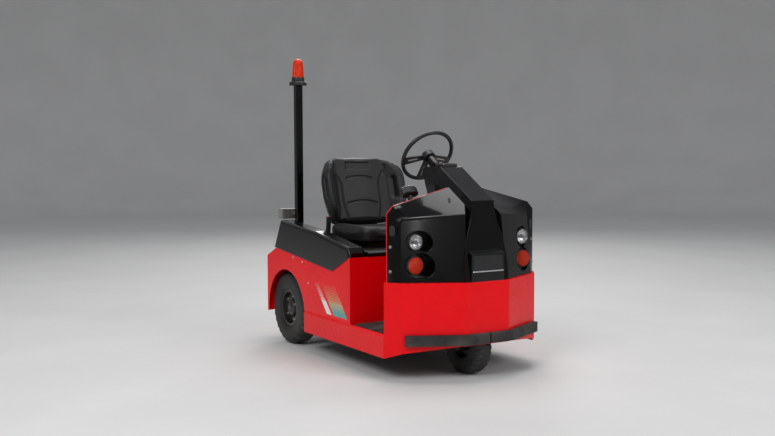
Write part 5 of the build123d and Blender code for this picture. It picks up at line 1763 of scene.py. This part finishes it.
@dataclass
class BodyFittings:
    """Plugs, bolts and screws seated on the cowl, the bumpers and the side panels.

    Places are given on the left side, and the right side mirrors them.
    """

    bench: Bench
    stand_off: float = 0.3
    bed: float = 0.4 * MM
    strip_aim: Point2 = (-0.93, -0.36)
    strip_plug: Point3 = (0.630, 0.426, 0.737)
    strip_bolts: tuple[Point3, ...] = ((0.630, 0.436, 0.659), (0.632, 0.438, 0.539))
    strip_bolt: float = 8.5 * MM
    shoulder_slot: Point3 = (0.690, 0.132, 1.0)
    panel_screws: tuple[Point3, ...] = (
        (-0.413, 0.46, 0.521), (-0.297, 0.46, 0.503), (-0.223, 0.46, 0.392),
    )
    panel_screw: float = 6.0 * MM
    bumper_bolts: Point3 = (0.375, 0.245, 0.085)
    bumper_bolt: float = 9.0 * MM
    bumper_sink: float = 2.8 * MM

    def build(self) -> None:
        """Seat every fitting on both sides."""
        plugs, bolts, screws, studs = Shape(), Shape(), Shape(), Shape()
        cowl = Skin("front_cowl")
        plug = Shape.prism(rounded_rectangle(0.052, 0.028, 0.0138, 8), 0.004, 0.0012)
        slot = Shape.prism(rounded_rectangle(0.034, 0.013, 0.0064, 6), 0.003, 0.001)
        for side in Side:
            aim = Vector((self.strip_aim[0], side.value * self.strip_aim[1], 0))
            plugs.add(plug.placed(self._seated(cowl, self.strip_plug, side, aim)))
            for spot in self.strip_bolts:
                bolts.add(dome_screw(self.strip_bolt).placed(self._seated(cowl, spot, side, aim)))
            plugs.add(slot.placed(self._seated(cowl, self.shoulder_slot, side, -UP)))
            panel = Skin(f"side_panel_{side.name.lower()}")
            inward = LEFTWARD * -side.value
            for spot in self.panel_screws:
                screws.add(dome_screw(self.panel_screw).placed(self._seated(panel, spot, side, inward)))
            bumper = f"bumper_{side.name.lower()}"
            low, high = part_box(bumper)
            skin = Skin(bumper)
            for y in self.bumper_bolts:
                seat = self._seated(skin, (high.x, y, (low.z + high.z) / 2), side, BACKWARD)
                sunk = seat @ Matrix.Translation((0, 0, -self.bumper_sink))
                studs.add(dome_screw(self.bumper_bolt).placed(sunk))
        self.bench.piece("cowl_plugs", plugs, "rubber", Body.CHASSIS, Slot.RUBBER)
        self.bench.piece("cowl_bolts", bolts, "bolt_zinc", Body.CHASSIS, Slot.PIN_STEEL)
        self.bench.piece("panel_screws", screws, "bright_trim", Body.CHASSIS, Slot.PIN_STEEL)
        self.bench.piece("bumper_bolts", studs, "bolt_black", Body.CHASSIS, Slot.SATIN_BLACK)

    def _seated(self, skin: Skin, spot: Point3, side: Side, aim: Vector) -> Matrix:
        """Stand a fitting on a surface, with its long way up where it can be.

        Args:
            skin: The surface.
            spot: A place near the surface, on the left side.
            side: The side that the fitting goes on.
            aim: Direction in which it is pushed home.

        Returns:
            The placing matrix.
        """
        start = Vector((spot[0], side.value * spot[1], spot[2])) - aim.normalized() * self.stand_off
        point, normal = skin.seat(start, aim)
        return stand(point - normal * self.bed, normal, UP)


@dataclass
class BatteryTop:
    """Cell lids, vent caps and links on top of the battery, seen when the hood is open."""

    bench: Bench
    rows: int = 4
    columns: int = 6
    rim: float = 20.0 * MM
    gap: float = 4.0 * MM
    lid: float = 3.0 * MM
    link_width: float = 18.0 * MM
    link_height: float = 8.0 * MM
    pole_share: float = 0.28
    pole_bolt: float = 6.5 * MM
    pole_lift: float = 7.5 * MM

    CAP_PROFILE = (
        (0.017, 0.0), (0.017, 0.004), (0.014, 0.005), (0.0135, 0.010), (0.012, 0.012), (0.0, 0.012),
    )

    def __post_init__(self) -> None:
        """Divide the battery's top into cells."""
        low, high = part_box("battery")
        length = (high.x - low.x - 2 * self.rim) / self.rows
        width = (high.y - low.y - 2 * self.rim) / self.columns
        self.cell = Vector((length, width, 0))
        self.corner = Vector((low.x + self.rim, low.y + self.rim, high.z))

    def build(self) -> None:
        """Lay out the cells and link them one after another."""
        lids, caps, links, bolts = Shape(), Shape(), Shape(), Shape()
        outline = rounded_rectangle(self.cell.x - self.gap, self.cell.y - self.gap, 0.005)
        lid = Shape.prism(outline, self.lid, 0.001)
        cap = Shape.lathe(self.CAP_PROFILE, 24)
        for row in range(self.rows):
            for column in range(self.columns):
                centre = self._centre(row, column)
                lids.add(lid.placed(Matrix.Translation(centre)))
                caps.add(cap.placed(Matrix.Translation(centre + UP * self.lid)))
        poles = self._poles()
        for start, end in zip(poles[1::2], poles[2::2]):
            along = end - start
            outline = rounded_rectangle(along.length + self.link_width, self.link_width, 0.008)
            link = Shape.prism(outline, self.link_height, 0.002)
            links.add(link.placed(stand((start + end) / 2, UP, along)))
        for pole in poles:
            bolts.add(dome_screw(self.pole_bolt).placed(Matrix.Translation(pole + UP * self.pole_lift)))
        self.bench.piece("battery_lids", lids, "cell_grey", Body.CHASSIS, Slot.SATIN_BLACK)
        self.bench.piece("battery_caps", caps, "vent_yellow", Body.CHASSIS, Slot.LAMP_ORANGE)
        self.bench.piece("battery_links", links, "rubber", Body.CHASSIS, Slot.RUBBER)
        self.bench.piece("battery_bolts", bolts, "bolt_zinc", Body.CHASSIS, Slot.PIN_STEEL)

    def _centre(self, row: int, column: int) -> Vector:
        """Middle of a cell's lid."""
        return self.corner + Vector(((row + 0.5) * self.cell.x, (column + 0.5) * self.cell.y, 0))

    def _poles(self) -> list[Vector]:
        """Lay out both poles of every cell.

        Returns:
            The poles in the order that the links join them.
        """
        poles = []
        reach = self.cell * self.pole_share
        for row in range(self.rows):
            way = 1 if row % 2 == 0 else -1
            for column in range(self.columns)[::way]:
                for end in (-way, way):
                    offset = Vector((-reach.x, end * reach.y, self.lid))
                    poles.append(self._centre(row, column) + offset)
        return poles


@dataclass
class Controls:
    """Horn button, display, key switch, trim of the parking lever, and the pads of the pedals."""

    bench: Bench
    hub_top: float = 4.0 * MM
    head: Point3 = (0.520, -0.258, 0.919)
    head_lean: float = math.radians(50.0)
    head_ring: Point2 = (0.041, 0.024)
    head_top: float = 20.5 * MM
    head_wire: float = 2.2 * MM
    display_y: float = 0.010
    display_lights: int = 4
    light_start: Point3 = (-0.016, -0.018, 0.0012)
    light_pitch: float = 12.0 * MM
    light_radius: float = 2.2 * MM
    key_y: float = -0.032
    pedal_ribs: int = 6
    pedal_half: float = 0.040
    pedal_run: Point2 = (0.1, 0.09)
    rib_span: Point2 = (0.22, 0.88)

    HUB_PROFILE = (
        (0.0345, 0.0), (0.0345, 0.002), (0.031, 0.005), (0.021, 0.006), (0.020, 0.004), (0.0, 0.004),
    )
    BUTTON_PROFILE = ((0.0188, 0.004), (0.0188, 0.007), (0.016, 0.0095), (0.0, 0.0105))
    LOCK_PROFILE = ((0.008, 0.0), (0.008, 0.004), (0.006, 0.005), (0.005, 0.003), (0.0, 0.003))
    KEY_OUTLINE = ((-0.0045, -0.001), (0.0045, -0.001), (0.0045, 0.001), (-0.0045, 0.001))
    KEY_HEIGHT = 0.011

    def build(self) -> None:
        """Dress the driver's controls."""
        self._horn()
        self._display()
        self._lever_trim()
        self._pedal_pads()

    def _horn(self) -> None:
        """Cap and horn button on the hub of the steering wheel."""
        joint = next(item for item in frame["joints"] if item["name"] == "steering_turn")
        centre, axis = Vector(joint["pos_m"]), Vector(joint["axis"]).normalized()
        axis = axis if axis.z > 0.0 else -axis
        matrix = stand(centre + axis * self.hub_top, axis)
        cap = Shape.lathe(self.HUB_PROFILE, 40).placed(matrix)
        self.bench.piece("hub_cap_steering", cap, "satin_black", Body.STEERING, Slot.SATIN_BLACK)
        button = Shape.lathe(self.BUTTON_PROFILE, 32).placed(matrix)
        self.bench.piece("horn_button", button, "rubber", Body.STEERING, Slot.RUBBER)

    def _display(self) -> None:
        """Display glass with its row of lamps, and the key switch."""
        low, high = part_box("instrument_panel")
        centre = Vector(((low.x + high.x) / 2, self.display_y, high.z))
        glass = Shape.prism(rounded_rectangle(0.044, 0.052, 0.004), 0.0014, 0.0004)
        screen = glass.placed(stand(centre, UP))
        self.bench.piece("display_glass", screen, "screen", Body.CHASSIS, Slot.SATIN_BLACK)
        lights = Shape()
        for k in range(self.display_lights):
            spot = centre + Vector(self.light_start) + LEFTWARD * self.light_pitch * k
            lights.add(dome_screw(self.light_radius).placed(Matrix.Translation(spot)))
        self.bench.piece("display_lights", lights, "lamp_orange", Body.CHASSIS, Slot.LAMP_ORANGE)
        key = Shape.lathe(self.LOCK_PROFILE, 28)
        key.add(Shape.prism(self.KEY_OUTLINE, self.KEY_HEIGHT))
        placed = key.placed(Matrix.Translation(Vector((centre.x, self.key_y, high.z))))
        self.bench.piece("key_switch", placed, "bolt_zinc", Body.CHASSIS, Slot.PIN_STEEL)

    def _lever_trim(self) -> None:
        """Bright ring round the oval head of the parking lever."""
        out = Vector((-math.cos(self.head_lean), 0, math.sin(self.head_lean)))
        matrix = stand(Vector(self.head) + out * self.head_top, out, LEFTWARD)
        wide, tall = self.head_ring
        turns = [TAU * k / 64 for k in range(64)]
        path = [Vector((wide * math.cos(turn), tall * math.sin(turn), 0)) for turn in turns]
        ring = Shape.hoop(path, self.head_wire, 10).placed(matrix)
        self.bench.piece("lever_ring", ring, "bright_trim", Body.CHASSIS, Slot.PIN_STEEL)

    def _pedal_pads(self) -> None:
        """Rubber ribs across each pedal's face."""
        low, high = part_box("pedals")
        skin = Skin("pedals")
        ribs = Shape()
        rib = Shape.prism(rounded_rectangle(0.066, 0.006, 0.002, 3), 0.0022, 0.0006)
        aim = Vector((1, 0, -1))
        run, climb = self.pedal_run
        first, last = self.rib_span
        for side in Side:
            y = (low.y + high.y) / 2 + side.value * ((high.y - low.y) / 2 - self.pedal_half)
            for k in range(self.pedal_ribs):
                share = first + (last - first) * k / (self.pedal_ribs - 1)
                spot = Vector((low.x + run * share, y, low.z + climb * share)) - aim * 0.1
                point, normal = skin.seat(spot, aim)
                ribs.add(rib.placed(stand(point, normal, LEFTWARD)))
        self.bench.piece("pedal_ribs", ribs, "rubber", Body.CHASSIS, Slot.RUBBER)


@dataclass
class TowTractor:
    """The whole tractor, dressed in order."""

    bench: Bench

    def build(self) -> None:
        """Build every sub-assembly."""
        bench = self.bench
        Bodywork(bench).dress_nodes()
        wheels = (
            Wheel(bench, "rear_right", "rear_tyre_right", "rear_rim_right", Body.REAR_RIGHT,
                  outward=-1, lugs=30, groove=9 * MM, nuts=5),
            Wheel(bench, "rear_left", "rear_tyre_left", "rear_rim_left", Body.REAR_LEFT,
                  outward=1, lugs=30, groove=9 * MM, nuts=5),
            Wheel(bench, "front", "front_tyre", "front_rim", Body.FRONT_WHEEL,
                  outward=-1, lugs=26, groove=6 * MM),
        )
        for wheel in wheels:
            wheel.build()
        SeatUpholstery(bench).build()
        LampSet(bench).build()
        Beacon(bench).build()
        RearLamps(bench).build()
        CowlTrim(bench).build()
        SideStripes(bench).build()
        BodyFittings(bench).build()
        BatteryTop(bench).build()
        Controls(bench).build()


def main() -> None:
    """Build the studio and the tractor, and report each piece."""
    logging.basicConfig(level=logging.INFO, format="%(name)s: %(message)s")
    Studio().build()
    finishes = Finishes(Effects())
    TowTractor(Bench(finishes)).build()


if __name__ == "__main__":
    main()
